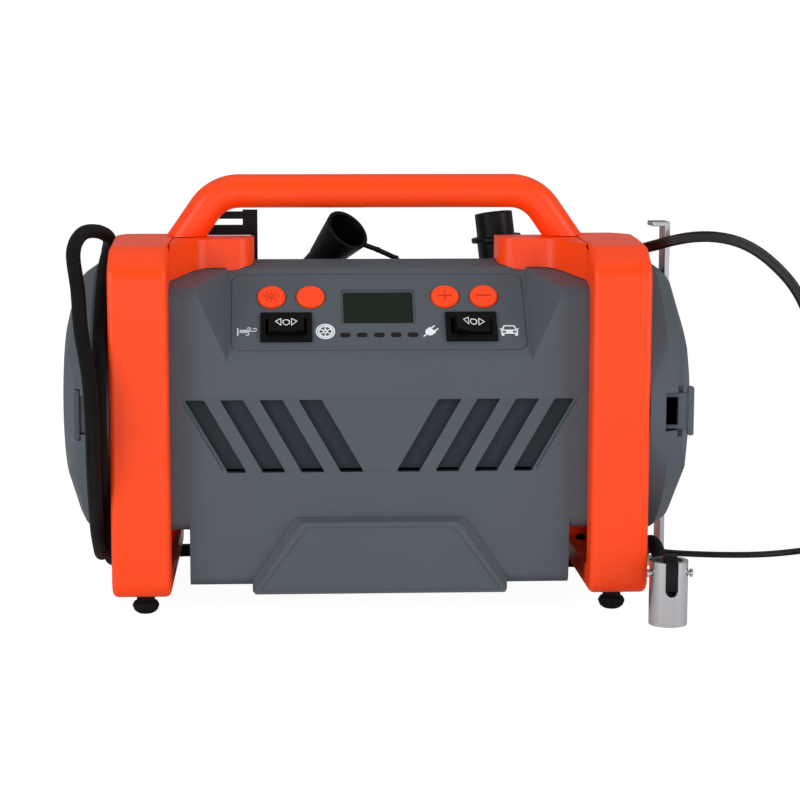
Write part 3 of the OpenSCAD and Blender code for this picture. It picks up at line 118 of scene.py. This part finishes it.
# %% Studio
PAPER_GLOW = 0.8  # how much of the sheet is plain white to the camera; the rest shows shadow
floor_mesh = bpy.data.meshes.new("studio_floor")
floor_mesh.from_pydata([(-4, -4, 0), (4, -4, 0), (4, 4, 0), (-4, 4, 0)], [], [(0, 1, 2, 3)])
studio_floor = bpy.data.objects.new("studio_floor", floor_mesh)
bpy.context.collection.objects.link(studio_floor)
paper, paper_tree, paper_shader = new_material("white_paper", Roughness=0.9)
paper_shader.inputs["Base Color"].default_value = linear("#f4f4f4")
paper_shader.inputs["Specular IOR Level"].default_value = 0.0
rays = add(paper_tree, "ShaderNodeLightPath")
glow = add(paper_tree, "ShaderNodeEmission", Color=(1, 1, 1, 1), Strength=1.2)
part_glow = add(paper_tree, "ShaderNodeMath", {0: rays.outputs["Is Camera Ray"]},
                operation="MULTIPLY")
part_glow.inputs[1].default_value = PAPER_GLOW
paper_mix = add(paper_tree, "ShaderNodeMixShader", {0: part_glow.outputs[0],
                1: paper_shader.outputs[0], 2: glow.outputs[0]})
paper_out = paper_tree.nodes["Material Output"]
paper_tree.links.new(paper_mix.outputs[0], paper_out.inputs["Surface"])
floor_mesh.materials.append(paper)

world = bpy.data.worlds.new("studio")
bpy.context.scene.world = world
world.use_nodes = True
sky = world.node_tree
background = sky.nodes["Background"]
background.inputs["Color"].default_value = (1, 1, 1, 1)
sky_rays = add(sky, "ShaderNodeLightPath")
direct = add(sky, "ShaderNodeMath", {0: sky_rays.outputs["Is Camera Ray"],
             1: sky_rays.outputs["Is Transmission Ray"]}, operation="MAXIMUM")
level = add(sky, "ShaderNodeMapRange", {"Value": direct.outputs[0]})
level.inputs["To Min"].default_value = 0.3
level.inputs["To Max"].default_value = 1.1
sky.links.new(level.outputs[0], background.inputs["Strength"])


def lamp(name, at, aim, size, power):
    data = bpy.data.lights.new(name, "AREA")
    data.shape = "RECTANGLE"
    data.size, data.size_y = size
    data.energy = power
    obj = bpy.data.objects.new(name, data)
    obj.location = at
    obj.rotation_euler = (Vector(aim) - Vector(at)).to_track_quat("-Z", "Y").to_euler()
    bpy.context.collection.objects.link(obj)
    return obj


top = lamp("top_softbox", (0.0, 0.1, 1.35), (0, 0, 0.1), (1.6, 1.0), 5)
top.visible_glossy = False
lamp("left_softbox", (-1.2, -1.0, 0.5), (0, 0, 0.12), (0.7, 1.1), 12)
lamp("right_softbox", (1.3, -0.9, 0.5), (0, 0, 0.12), (0.7, 1.1), 11)
lamp("front_softbox", (0.0, -1.6, 0.12), (0, 0, 0.08), (1.3, 0.4), 3.2)

# %% [markdown]
# Flexible cords come first. Each is a tube swept along a smooth line through the route's points.
# The hose is round with a woven polyester braid; the leads are flat twin cables with a groove
# down the middle of each face. The routes are in millimetres.

# %% Curve helpers
def smooth_line(points, step=4.0):
    points = [Vector(p) for p in points]
    line = []
    for i in range(len(points) - 1):
        a = points[max(i - 1, 0)]
        b, c = points[i], points[i + 1]
        d = points[min(i + 2, len(points) - 1)]
        count = max(1, round((c - b).length / step))
        for k in range(count):
            t = k / count
            line.append(0.5 * (2 * b + (c - a) * t + (2 * a - 5 * b + 4 * c - d) * t * t
                               + (3 * b - a - 3 * c + d) * t ** 3))
    line.append(points[-1])
    return line


def headings(line):
    last = len(line) - 1
    return [(line[min(i + 1, last)] - line[max(i - 1, 0)]).normalized() for i in range(last + 1)]


def carried_normals(line, first):
    normal = Vector(first)
    normals = []
    for heading in headings(line):
        normal = (normal - normal.dot(heading) * heading).normalized()
        normals.append(normal.copy())
    return normals


def line_length(line):
    return sum((line[i + 1] - line[i]).length for i in range(len(line) - 1))


def sweep(name, line, normals, section, material):
    """A tube with UVs in millimetres: U round the section, V along the line."""
    mesh = bpy.data.meshes.new(name)
    bm = bmesh.new()
    uv = bm.loops.layers.uv.new("along")
    rings = []
    for point, heading, normal in zip(line, headings(line), normals):
        side = heading.cross(normal)
        rings.append([bm.verts.new((point + normal * a + side * b) * MM) for a, b in section])
    round_u = [0.0]
    for k in range(len(section)):
        a, b = section[k], section[(k + 1) % len(section)]
        round_u.append(round_u[-1] + math.dist(a, b))
    along_v = [0.0]
    for i in range(len(line) - 1):
        along_v.append(along_v[-1] + (line[i + 1] - line[i]).length)
    n = len(section)
    for i in range(len(rings) - 1):
        for k in range(n):
            face = bm.faces.new((rings[i][k], rings[i][(k + 1) % n],
                                 rings[i + 1][(k + 1) % n], rings[i + 1][k]))
            face.smooth = True
            corners = ((k, i), (k + 1, i), (k + 1, i + 1), (k, i + 1))
            for loop, (u, v) in zip(face.loops, corners):
                loop[uv].uv = (round_u[u], along_v[v])
    bm.faces.new(list(reversed(rings[0])))
    bm.faces.new(rings[-1])
    bm.normal_update()
    bm.to_mesh(mesh)
    bm.free()
    obj = bpy.data.objects.new(name, mesh)
    bpy.context.collection.objects.link(obj)
    mesh.materials.append(material)
    return obj

# %% [markdown]
# The hose: black polyester yarn braided over rubber. The braid shows as columns of small leaning
# stitches that mirror each other, so the bump is a zigzag in the tube's own U and V. A stitch is
# 1.6 mm long, and two mirrored columns take 3.14 mm. The diameter of 8 mm is an assumption, and
# the real hose is probably thicker.

# %% Braided hose material
braid, braid_tree, braid_shader = new_material("braided_polyester", Roughness=0.62)
braid_shader.inputs["Specular IOR Level"].default_value = 0.2
STITCH = 1.6
COLUMN = 3.14
place = add(braid_tree, "ShaderNodeUVMap", uv_map="along")
parts = add(braid_tree, "ShaderNodeSeparateXYZ", {0: place.outputs[0]})
across = add(braid_tree, "ShaderNodeMath", {0: parts.outputs[0]}, operation="PINGPONG")
across.inputs[1].default_value = COLUMN / 2
lean = add(braid_tree, "ShaderNodeMath", {0: parts.outputs[1], 1: across.outputs[0]},
           operation="ADD")
ridge = add(braid_tree, "ShaderNodeMath", {0: lean.outputs[0]}, operation="PINGPONG")
ridge.inputs[1].default_value = STITCH / 2
high = add(braid_tree, "ShaderNodeMath", {0: ridge.outputs[0]}, operation="MULTIPLY")
high.inputs[1].default_value = 2 / STITCH
valley = add(braid_tree, "ShaderNodeMath", {0: across.outputs[0]}, operation="MULTIPLY")
valley.inputs[1].default_value = 2 / COLUMN
crown_line = add(braid_tree, "ShaderNodeMath", {0: valley.outputs[0]}, operation="PINGPONG")
crown_line.inputs[1].default_value = 0.5
weave = add(braid_tree, "ShaderNodeMath", {0: high.outputs[0], 1: crown_line.outputs[0]},
            operation="ADD")
yarn = add(braid_tree, "ShaderNodeTexNoise", {"Vector": place.outputs[0]}, Scale=3.0, Detail=2.0)
# The braid's colour is lighter on the stitch crests and darker in the hollows: painted sheen on
# the crests and painted shade between them.
painted_crest_sheen = add(braid_tree, "ShaderNodeMix", {"Factor": high.outputs[0]}, data_type="RGBA")
painted_crest_sheen.inputs["A"].default_value = linear("#020203")
painted_crest_sheen.inputs["B"].default_value = linear("#101013")
braid_tree.links.new(painted_crest_sheen.outputs["Result"], braid_shader.inputs["Base Color"])
braid_bump = add(braid_tree, "ShaderNodeBump", {"Height": weave.outputs[0]}, Strength=1.0,
                 Distance=0.0007)
braid_tree.links.new(braid_bump.outputs[0], braid_shader.inputs["Normal"])

# %% Lead material
# Soft PVC, extruded: nearly black with a broad, dull shine.
pvc, pvc_tree, pvc_shader = new_material("extruded_pvc", Roughness=0.42, IOR=1.53)
grain = add(pvc_tree, "ShaderNodeTexNoise", Scale=900.0, Detail=3.0)
pvc_rough = add(pvc_tree, "ShaderNodeMapRange", {"Value": grain.outputs["Fac"]})
pvc_rough.inputs["To Min"].default_value = 0.36
pvc_rough.inputs["To Max"].default_value = 0.5
pvc_tree.links.new(pvc_rough.outputs[0], pvc_shader.inputs["Roughness"])
pvc_shader.inputs["Base Color"].default_value = linear("#0a0a0b")
pvc_shader.inputs["Specular IOR Level"].default_value = 0.35

# %% Hose
HOSE_D = 8.0
stations = [(0, 151, 82.5), (275, 151, 82.5), (350, 162.5, 83), (375, 162.5, 83.5),
            (405, 160, 90.5), (432, 152.8, 92.3), (478, 166.5, 99.5), (508, 160.2, 92),
            (534, 154.2, 90.6), (556, 154.2, 90.6), (600, 155.2, 90.4), (630, 157.5, 88.3)]


def winding_point(angle):
    i = 0
    while i < len(stations) - 2 and angle >= stations[i + 1][0]:
        i += 1
    a, b = stations[i], stations[i + 1]
    t = (angle - a[0]) / (b[0] - a[0])
    t = 3 * t * t - 2 * t ** 3
    out, r = (a[k] + (b[k] - a[k]) * t for k in (1, 2))
    return (-out, r * math.cos(math.radians(angle)), 112 + r * math.sin(math.radians(angle)))


neck_way = Vector((0, -math.cos(math.radians(20)), -math.sin(math.radians(20))))
neck_end = Vector((154.0, -88.8, 24.4)) - 9.1 * neck_way
hose_points = [(-151, 82.5, 104)]
hose_points += [winding_point(i * 15) for i in range(43)]
hose_points += [(-157.5, 8, 23.7), (-157.5, 16, 23.2), (-157.4, 26, 19.5), (-157, 36, 13.2),
                (-156.4, 46, 7.6), (-154, 57, 4.7), (-148.5, 67, 4.3), (-140, 75, 4.3),
                (-129.5, 80.5, 4.3), (-117, 83, 4.3), (-103, 82.5, 4.3), (-85, 79, 4.3),
                (-62, 73, 4.3), (-35, 65.5, 4.3), (-5, 58, 4.3), (25, 52, 4.3),
                (55, 47.5, 4.3), (80, 44.8, 4.3), (100, 43.8, 4.3), (116, 43, 4.3),
                (128.5, 40, 4.3), (138.5, 34, 4.3), (146.5, 24.5, 4.3), (151, 13, 5.4),
                (153, 1, 9.4), (153.3, -9, 15.2), (153.5, -20, 23), (153.6, -31, 29.6),
                (153.8, -44, 33.6), (153.9, -57, 34.2)]
hose_points += [tuple(neck_end - 10.5 * neck_way), tuple(neck_end)]
hose_line = smooth_line(hose_points, 3.0)
circle = [(HOSE_D / 2 * math.cos(math.tau * k / 20), HOSE_D / 2 * math.sin(math.tau * k / 20))
          for k in range(20)]
hose = sweep("braided_hose", hose_line, carried_normals(hose_line, (1, 0, 0)), circle, braid)
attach(hose, "base")
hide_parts("air_hose_winding", "air_hose")
hose_length = line_length(hose_line)
print("hose", round(hose_length), "mm")

# %% Leads
LEAD_W, LEAD_T = 6.2, 3.2


def coil_point(u, coil):
    cx, cy, inner, outer, per_layer, layers, start, way, low, rise = coil
    wave = u / per_layer % 2
    wave = wave if wave < 1 else 2 - wave
    r = outer - (outer - inner) * wave
    angle = math.radians(start + way * 360 * u)
    k = math.floor(u / per_layer + 0.5)
    t = min(max((u - k * per_layer + 0.25) * 2, 0), 1)
    lift = 0 if k == 0 else (k - 1) + 3 * t * t - 2 * t ** 3
    if u > per_layer * layers - 0.3:
        lift = layers - 1
    return (cx + r * math.cos(angle), cy + r * math.sin(angle), low + lift * rise)


def coil_line(coil):
    turns = coil[4] * coil[5]
    count = round(turns * 48)
    line = [Vector(coil_point(i / 48, coil)) for i in range(count + 1)]
    end = math.radians(coil[6] + coil[7] * 360 * turns)
    way = coil[7] * Vector((-math.sin(end), math.cos(end), 0))
    return line + [line[-1] + 3.6 * way, line[-1] + 7.2 * way], way


def twin_section(w, t, groove=0.45):
    lobe = t / 2
    centre = w / 2 - lobe
    right = [(centre + lobe * math.cos(a), lobe * math.sin(a))
             for a in (math.radians(-90 + 20 * k) for k in range(10))]
    left = [(-x, -y) for x, y in right]
    return right + [(0, lobe - groove)] + left + [(0, groove - lobe)]


def blended_normals(line, first, last):
    """Carried along, then twisted evenly so that the far end lies flat."""
    normals = carried_normals(line, first)
    heading = headings(line)[-1]
    target = Vector(last)
    if normals[-1].dot(target) < 0:
        target = -target
    angle = math.atan2(normals[-1].cross(target).dot(heading), normals[-1].dot(target))
    return [Matrix.Rotation(angle * i / (len(line) - 1), 3, h) @ n
            for i, (n, h) in enumerate(zip(normals, headings(line)))]


def level_normals(line):
    return [Vector((0, 0, 1)).cross(h).normalized() for h in headings(line)]


RISE = LEAD_T + 0.7
PITCH = LEAD_W + 0.6
mains_coil = (307.5, 32.2, 44 - 3.25 * PITCH, 44, 3.25, 2, 180, -1, 2.0, RISE)
car_coil = (332.4, 127.0, 44 - 3.0625 * PITCH, 44, 3.0625, 4, -90, 1, 1.9, RISE)
mains_points = [(152.2, 82.2, 120), (152.2, 81.8, 128), (152.2, 78.6, 142), (152.4, 72, 155.5),
                (152.6, 62, 168), (152.7, 50, 178.5), (152.8, 36, 187), (152.8, 21, 192.5),
                (153, 7, 195), (154.5, -6, 197), (158.8, -17, 199.3), (166.5, -25, 202.2),
                (177.5, -29, 204.4), (190, -29.5, 204.4), (203, -28, 201.6),
                (215.5, -25.5, 195.5), (227, -23, 186.5), (237, -20, 176), (245, -17.5, 163),
                (250.5, -15, 148), (254, -13, 131), (256, -11.5, 112), (257, -10.5, 92),
                (257.5, -9.5, 72), (258, -8.7, 50), (258.5, -8, 30), (259.6, -5.9, 19.3),
                (261, 0.2, 10.2), (262.6, 9.3, 4.1), (263.5, 19, 2), (263.5, 26, 2)]
car_points = [(95, 90, 27), (95, 97, 25.8), (97, 107.9, 22.7), (101.9, 117.5, 18.7),
              (109.8, 125, 14.2), (119.9, 129.3, 9.9), (131.1, 129.9, 6.1),
              (142.1, 126.8, 3.3), (151.9, 120.4, 1.9), (159.5, 111.5, 1.9),
              (164.5, 101, 1.9), (168.8, 90, 1.9), (176, 80.5, 1.9), (190, 72, 1.9),
              (206, 67.5, 1.9), (222, 65, 1.9), (238, 64.8, 1.9), (252, 67.5, 1.9),
              (265, 72.5, 1.9), (277, 78, 1.9), (288, 81.6, 1.9), (299, 83, 1.9),
              (312, 83, 1.9), (326.2, 83, 1.9)]


def make_lead(name, points, coil, normals_of, nodes):
    free = smooth_line(points, 4.0)
    wound, way = coil_line(coil)
    normals = normals_of(free)
    flat = level_normals(wound)
    if normals[-1].dot(flat[0]) < 0:
        flat = [-n for n in flat]
    line = free + wound
    obj = sweep(name, line, normals + flat, twin_section(LEAD_W, LEAD_T), pvc)
    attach(obj, "base")
    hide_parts(*nodes)
    print(name, round(line_length(line)), "mm")
    return obj, line


mains_lead, mains_line = make_lead(
    "mains_flat_lead", mains_points, mains_coil,
    lambda line: blended_normals(line, (0, 1, 0), (1, 0, 0)), ["mains_lead", "mains_lead_coil"])
car_lead, car_line = make_lead(
    "car_flat_lead", car_points, car_coil, level_normals, ["car_lead", "car_lead_coil"])


nodes = frame["nodes"]

# %% [markdown]
# Every moulded or metal finish is built the same way: a base colour that drifts very slightly over
# the surface, a roughness that varies a little, and a fine grain in the bump. The grain's size is
# given in millimetres.

# %% Finishes
def finish(name, colour, roughness, grain_mm, depth_mm, drift=0.06, **settings):
    material, tree, shader = new_material(name, **settings)
    where = add(tree, "ShaderNodeTexCoord")
    grain = add(tree, "ShaderNodeTexNoise", {"Vector": where.outputs["Object"]},
                Scale=1000 / grain_mm, Detail=3.0)
    patches = add(tree, "ShaderNodeTexNoise", {"Vector": where.outputs["Object"]}, Scale=14.0)
    tint = add(tree, "ShaderNodeMapRange", {"Value": patches.outputs["Fac"]})
    tint.inputs["To Min"].default_value = 1 - drift
    tint.inputs["To Max"].default_value = 1 + drift
    base = add(tree, "ShaderNodeRGB")
    base.outputs[0].default_value = linear(colour)
    shade = add(tree, "ShaderNodeVectorMath", {0: base.outputs[0]}, operation="SCALE")
    tree.links.new(tint.outputs[0], shade.inputs["Scale"])
    tree.links.new(shade.outputs[0], shader.inputs["Base Color"])
    dull = add(tree, "ShaderNodeMapRange", {"Value": grain.outputs["Fac"]})
    dull.inputs["To Min"].default_value = roughness - 0.05
    dull.inputs["To Max"].default_value = roughness + 0.05
    tree.links.new(dull.outputs[0], shader.inputs["Roughness"])
    bump = add(tree, "ShaderNodeBump", {"Height": grain.outputs["Fac"]}, Strength=0.5,
               Distance=depth_mm * MM)
    tree.links.new(bump.outputs[0], shader.inputs["Normal"])
    return material


finishes = {
    "shell_grey": finish("moulded_grey", "#4f565e", 0.52, 0.9, 0.03, Specular_IOR_Level=0.3),
    "frame_orange": finish("moulded_orange", "#ff470e", 0.36, 0.8, 0.02,
                           Specular_IOR_Level=0.3),
    "display_glass": finish("display_window", "#1b271f", 0.3, 4.0, 0.002,
                            Specular_IOR_Level=0.08),
    "dark_plastic": finish("moulded_black", "#070708", 0.42, 0.7, 0.02,
                           Specular_IOR_Level=0.2),
    "lens_smoke": finish("smoky_lens", "#24201d", 0.3, 1.5, 0.01, Specular_IOR_Level=0.15),
    "rubber": finish("soft_rubber", "#09090a", 0.75, 0.6, 0.04, Specular_IOR_Level=0.2),
    "plate_grey": finish("inner_plate", "#7d8288", 0.55, 0.9, 0.03),
    "zinc": finish("plated_zinc", "#c9ccd0", 0.24, 1.2, 0.004, drift=0.03, Metallic=1.0),
    "motor_steel": finish("drawn_steel", "#b4b8bc", 0.34, 0.5, 0.006, drift=0.04, Metallic=1.0),
    "cast_alloy": finish("cast_alloy", "#a3a8ad", 0.5, 1.0, 0.03, Metallic=1.0),
    "board_green": finish("solder_mask", "#2f5d3a", 0.35, 0.8, 0.01),
}
slot_of = {p["node"]: p["material_slot"] for p in frame["record"]["subparts"]}
body_of = {n: body for body, names in frame["record"]["behaviour"]["bodies"].items()
           for n in names}
for name, obj in nodes.items():
    if slot_of[name] in finishes:
        for socket in obj.material_slots:
            socket.material = finishes[slot_of[name]]
print("finishes", len(finishes))

# %% [markdown]
# Mouldings have no knife edges. Each piece that shows gets a copy whose flat faces are joined up
# and whose sharp edges are rounded by a real bevel; the copy rides on the same body and stands in
# for the node. The radius is in millimetres.

# %% Softened mouldings
RIM_RADIUS = 3.2


def on_outer_rim(edge):
    """True where a loop's flat side meets its outer front, back or bottom."""
    if len(edge.link_faces) != 2:
        return False
    side, rim = sorted((f.normal for f in edge.link_faces), key=lambda n: -abs(n.x))
    middle = (edge.verts[0].co + edge.verts[1].co) / 2 / MM
    outward = rim.y * middle.y + rim.z * (middle.z - 100)
    return (abs(side.x) > 0.999 and abs(rim.x) < 0.02 and outward > 0
            and (abs(middle.y) > 55 or middle.z < 20))


def softened(name, radius, segments=3, sharp=28):
    bm = bmesh.new()
    bm.from_mesh(nodes[name].data)
    bmesh.ops.remove_doubles(bm, verts=bm.verts, dist=2e-6)
    bmesh.ops.dissolve_limit(bm, angle_limit=math.radians(0.6), verts=bm.verts, edges=bm.edges)
    if name.endswith("frame_loop"):
        rim = [e for e in bm.edges if on_outer_rim(e)]
        print(name, len(rim), "rim edges")
        bmesh.ops.bevel(bm, geom=rim, offset=RIM_RADIUS * MM, offset_type="OFFSET", segments=4,
                        profile=0.5, affect="EDGES", clamp_overlap=False)
    edges = [e for e in bm.edges if e.is_manifold and e.calc_face_angle(0) > math.radians(sharp)]
    bmesh.ops.bevel(bm, geom=edges, offset=radius * MM, offset_type="OFFSET", segments=segments,
                    profile=0.5, affect="EDGES", clamp_overlap=True)
    mesh = bpy.data.meshes.new(name + "_soft")
    bm.to_mesh(mesh)
    bm.free()
    mesh.shade_smooth()
    mesh.set_sharp_from_angle(angle=math.radians(40))
    mesh.materials.clear()
    mesh.materials.append(finishes[slot_of[name]])
    obj = bpy.data.objects.new(name + "_soft", mesh)
    bpy.context.collection.objects.link(obj)
    even = obj.modifiers.new("even_shading", "WEIGHTED_NORMAL")
    even.keep_sharp = True
    even.weight = 100
    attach(obj, body_of[name])
    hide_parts(name)
    return obj


for name, radius in (("left_frame_loop", 3.0), ("right_frame_loop", 3.0), ("front_shell", 0.5),
                     ("carry_handle", 0.8), ("lower_front_plate", 1.0), ("left_end_cover", 0.8),
                     ("right_end_cover", 0.8), ("control_panel", 0.3), ("light_button", 0.5),
                     ("unit_button", 0.5), ("plus_button", 0.5), ("minus_button", 0.5),
                     ("rocker_bezels", 0.4), ("mode_paddle", 0.4), ("power_paddle", 0.4),
                     ("blower_nozzle", 0.8), ("port_cap", 0.8), ("accessory_rack", 0.8),
                     ("chuck_barrel", 0.5), ("chuck_lever", 0.5), ("left_hose_keeper", 0.5),
                     ("right_cord_keeper", 0.5), ("rubber_feet", 0.5), ("winding_bracket", 0.4)):
    piece = softened(name, radius)
    print(piece.name, len(piece.data.polygons), "faces")

# %% [markdown]
# Behind the slits of the front vents the shell is in shade and darker, so the faces there get a
# darker grey that is painted shade.

# %% Painted shade behind the vents
shell = bpy.data.objects["front_shell_soft"].data
# The darker grey here is painted shade: the same shell, darkened where the vent cups lie in
# shadow.
shell.materials.append(finish("vent_painted_shade", "#2b333a", 0.6, 0.9, 0.03, Specular_IOR_Level=0.2))
shaded = 0
for face in shell.polygons:
    x, y, z = face.center / MM
    if abs(x) < 110 and -62.6 < y < -58 and 78 < z < 119:
        face.material_index = 1
        shaded += 1
print("shaded faces", shaded)

# %% [markdown]
# The signs are generic ones. Blower, wheel, mains plug and car are printed in white over their
# lamps; arrows and a ring are printed on the paddles; a sun, a plus and a minus stand up from the
# buttons. Each is drawn in millimetres as flat shapes, U to the right and V up the slope, and
# laid on the sloping face as thin plates.

# %% Sign shapes
def place_on_slope(x, s, h):
    return Vector((x, -18 - 0.70711 * (s + h), 187.5 - 0.70711 * (s - h)))


def disc(u, v, r, count=28):
    return [(u + r * math.cos(math.tau * k / count), v + r * math.sin(math.tau * k / count))
            for k in range(count)]


def plate(u0, u1, v0, v1):
    return [(u0, v0), (u1, v0), (u1, v1), (u0, v1)]


def stroke(points, width):
    shapes = []
    for (u0, v0), (u1, v1) in zip(points, points[1:]):
        length = math.dist((u0, v0), (u1, v1))
        du, dv = (u1 - u0) / length * width / 2, (v1 - v0) / length * width / 2
        a, b, c, d = u0 - du / 2, v0 - dv / 2, u1 + du / 2, v1 + dv / 2
        shapes.append([(a + dv, b - du), (c + dv, d - du), (c - dv, d + du), (a - dv, b + du)])
    return shapes


def ring(u, v, outer, inner, count=32):
    a, b = disc(u, v, outer, count), disc(u, v, inner, count)
    return [[a[k], a[(k + 1) % count], b[(k + 1) % count], b[k]] for k in range(count)]


def turned(shapes, degrees):
    c, s = math.cos(math.radians(degrees)), math.sin(math.radians(degrees))
    return [[(u * c - v * s, u * s + v * c) for u, v in shape] for shape in shapes]


blower = [plate(-5.4, -4.7, -2.7, 2.7)]
for v, reach, r, way in ((1.1, 1.0, 0.9, 1), (0.4, 4.2, 1.0, 1), (-0.5, 0.2, 0.95, -1)):
    strand = [(-4.0 + (reach + 4.0) * k / 6, v + 0.08 * math.sin(1.6 * k)) for k in range(7)]
    curl = [(reach + r * math.sin(math.radians(a)), v + way * r * (1 - math.cos(math.radians(a))))
            for a in range(0, 241, 20)]
    blower += stroke(strand, 0.4) + stroke(curl, 0.4)
wheel = ring(0, 0, 5.35, 4.55) + ring(0, 0, 4.2, 3.3) + ring(0, 0, 1.3, 0.6)
for k in range(6):
    wheel += turned([plate(1.2, 3.4, -0.3, 0.3)], 60 * k + 30)
plug = turned([[(-1.7, -2.5), (1.5, -2.5), (1.5, 2.5), (-1.7, 2.5), (-3.2, 1.2), (-3.2, -1.2)],
               plate(1.4, 4.2, 1.0, 1.75), plate(1.4, 4.2, -1.75, -1.0),
               plate(-5.8, -3.1, -0.35, 0.35)], 42)
car = [plate(-4.7, 4.7, -0.1, 0.7), plate(-4.7, 4.7, -2.2, -1.5), plate(-1.9, 1.9, -1.6, 0),
       plate(-4.7, -3.9, -1.6, 0), plate(3.9, 4.7, -1.6, 0), plate(-4.5, -3.0, -3.6, -2.1),
       plate(3.0, 4.5, -3.6, -2.1), plate(-5.3, -4.1, 0.9, 1.6), plate(4.1, 5.3, 0.9, 1.6)]
car += stroke([(-3.7, 0.6), (-2.8, 3.4), (2.8, 3.4), (3.7, 0.6)], 0.8)
arrows = [[(-5.9, 0), (-2.9, 2.4), (-2.9, -2.4)], [(5.9, 0), (2.9, -2.4), (2.9, 2.4)]]
arrows = [part for tip, a, b in arrows for part in stroke([tip, a, b, tip], 0.4)]
arrows += ring(0, 0, 2.05, 1.6)
sun = ring(0, 0, 1.7, 1.2)
for k in range(8):
    sun += turned([plate(2.5, 4.1, -0.22, 0.22)], 45 * k)
plus = [plate(-3.9, 3.9, -0.32, 0.32), plate(-0.32, 0.32, -3.9, -0.32),
        plate(-0.32, 0.32, 0.32, 3.9)]
minus = [plate(-3.9, 3.9, -0.32, 0.32)]
print("sign shapes", sum(map(len, (blower, wheel, plug, car, arrows, sun, plus, minus))))

# %% Signs on the panel
print_white = finish("printed_white", "#e6eef2", 0.5, 0.5, 0.005)


def sign(name, shapes, u0, s0, body, material, base, lift=0.1, tilt=0.0):
    """Thin plates on the slope: base(u) is the height of the face under U, tilt its turn."""
    mesh = bpy.data.meshes.new(name)
    bm = bmesh.new()
    c, s = math.cos(math.radians(tilt)), math.sin(math.radians(tilt))
    for number, shape in enumerate(shapes):
        rings = []
        for up in (-0.05, lift + 0.002 * (number % 9)):
            corners = []
            for u, v in shape:
                h = base(u) + up
                x = u * c + (h + 2) * s if tilt else u
                h = -u * s + (h + 2) * c - 2 if tilt else h
                corners.append(bm.verts.new(place_on_slope(u0 + x, s0 - v, h) * MM))
            rings.append(corners)
        low, high = rings
        bm.faces.new(high)
        bm.faces.new(list(reversed(low)))
        for k in range(len(shape)):
            j = (k + 1) % len(shape)
            bm.faces.new((low[k], low[j], high[j], high[k]))
    bmesh.ops.recalc_face_normals(bm, faces=bm.faces)
    bm.to_mesh(mesh)
    bm.free()
    mesh.materials.append(material)
    obj = bpy.data.objects.new(name, mesh)
    bpy.context.collection.objects.link(obj)
    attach(obj, body)
    return obj


BUTTON_PROUD = 1.4
POWER_TILT = 10.0
SIGN_ROW, ARROW_ROW, BUTTON_ROW = 46.7, 43.1, 22.33  # distances down the slope, in mm


def panel_face(u):
    return 0.0


def button_face(u):
    return BUTTON_PROUD


def paddle_face(u):
    return 3.6 + 0.18 * abs(u)


def middle_x(node):
    low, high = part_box(node)
    return (low[0] + high[0]) / 2 / MM


for name, shapes, x in (("blower_sign", blower, -72.5), ("wheel_sign", wheel, -29.5),
                        ("mains_sign", plug, 28.6), ("car_sign", car, 71.9)):
    sign(name, shapes, x, SIGN_ROW, "base", print_white, panel_face)
mode_x = middle_x("mode_paddle")
sign("mode_arrows", arrows, mode_x, ARROW_ROW, body_of["mode_paddle"], print_white,
     paddle_face, 0.12)
sign("power_arrows", arrows, -mode_x, ARROW_ROW, body_of["power_paddle"],
     print_white, paddle_face, 0.12, tilt=POWER_TILT)
# The raised signs are the same orange plastic as the buttons; their darker orange is painted
# shade.
sign_painted_shade = finish("orange_sign_painted_shade", "#d42c04", 0.4, 0.8, 0.02, Specular_IOR_Level=0.3)
for name, shapes, button in (("sun_sign", sun, "light_button"), ("plus_sign", plus, "plus_button"),
                             ("minus_sign", minus, "minus_button")):
    sign(name, shapes, middle_x(button), BUTTON_ROW, body_of[button], sign_painted_shade,
         button_face, 0.25)
print("signs on the panel, paddles at", round(mode_x, 1), "mm")
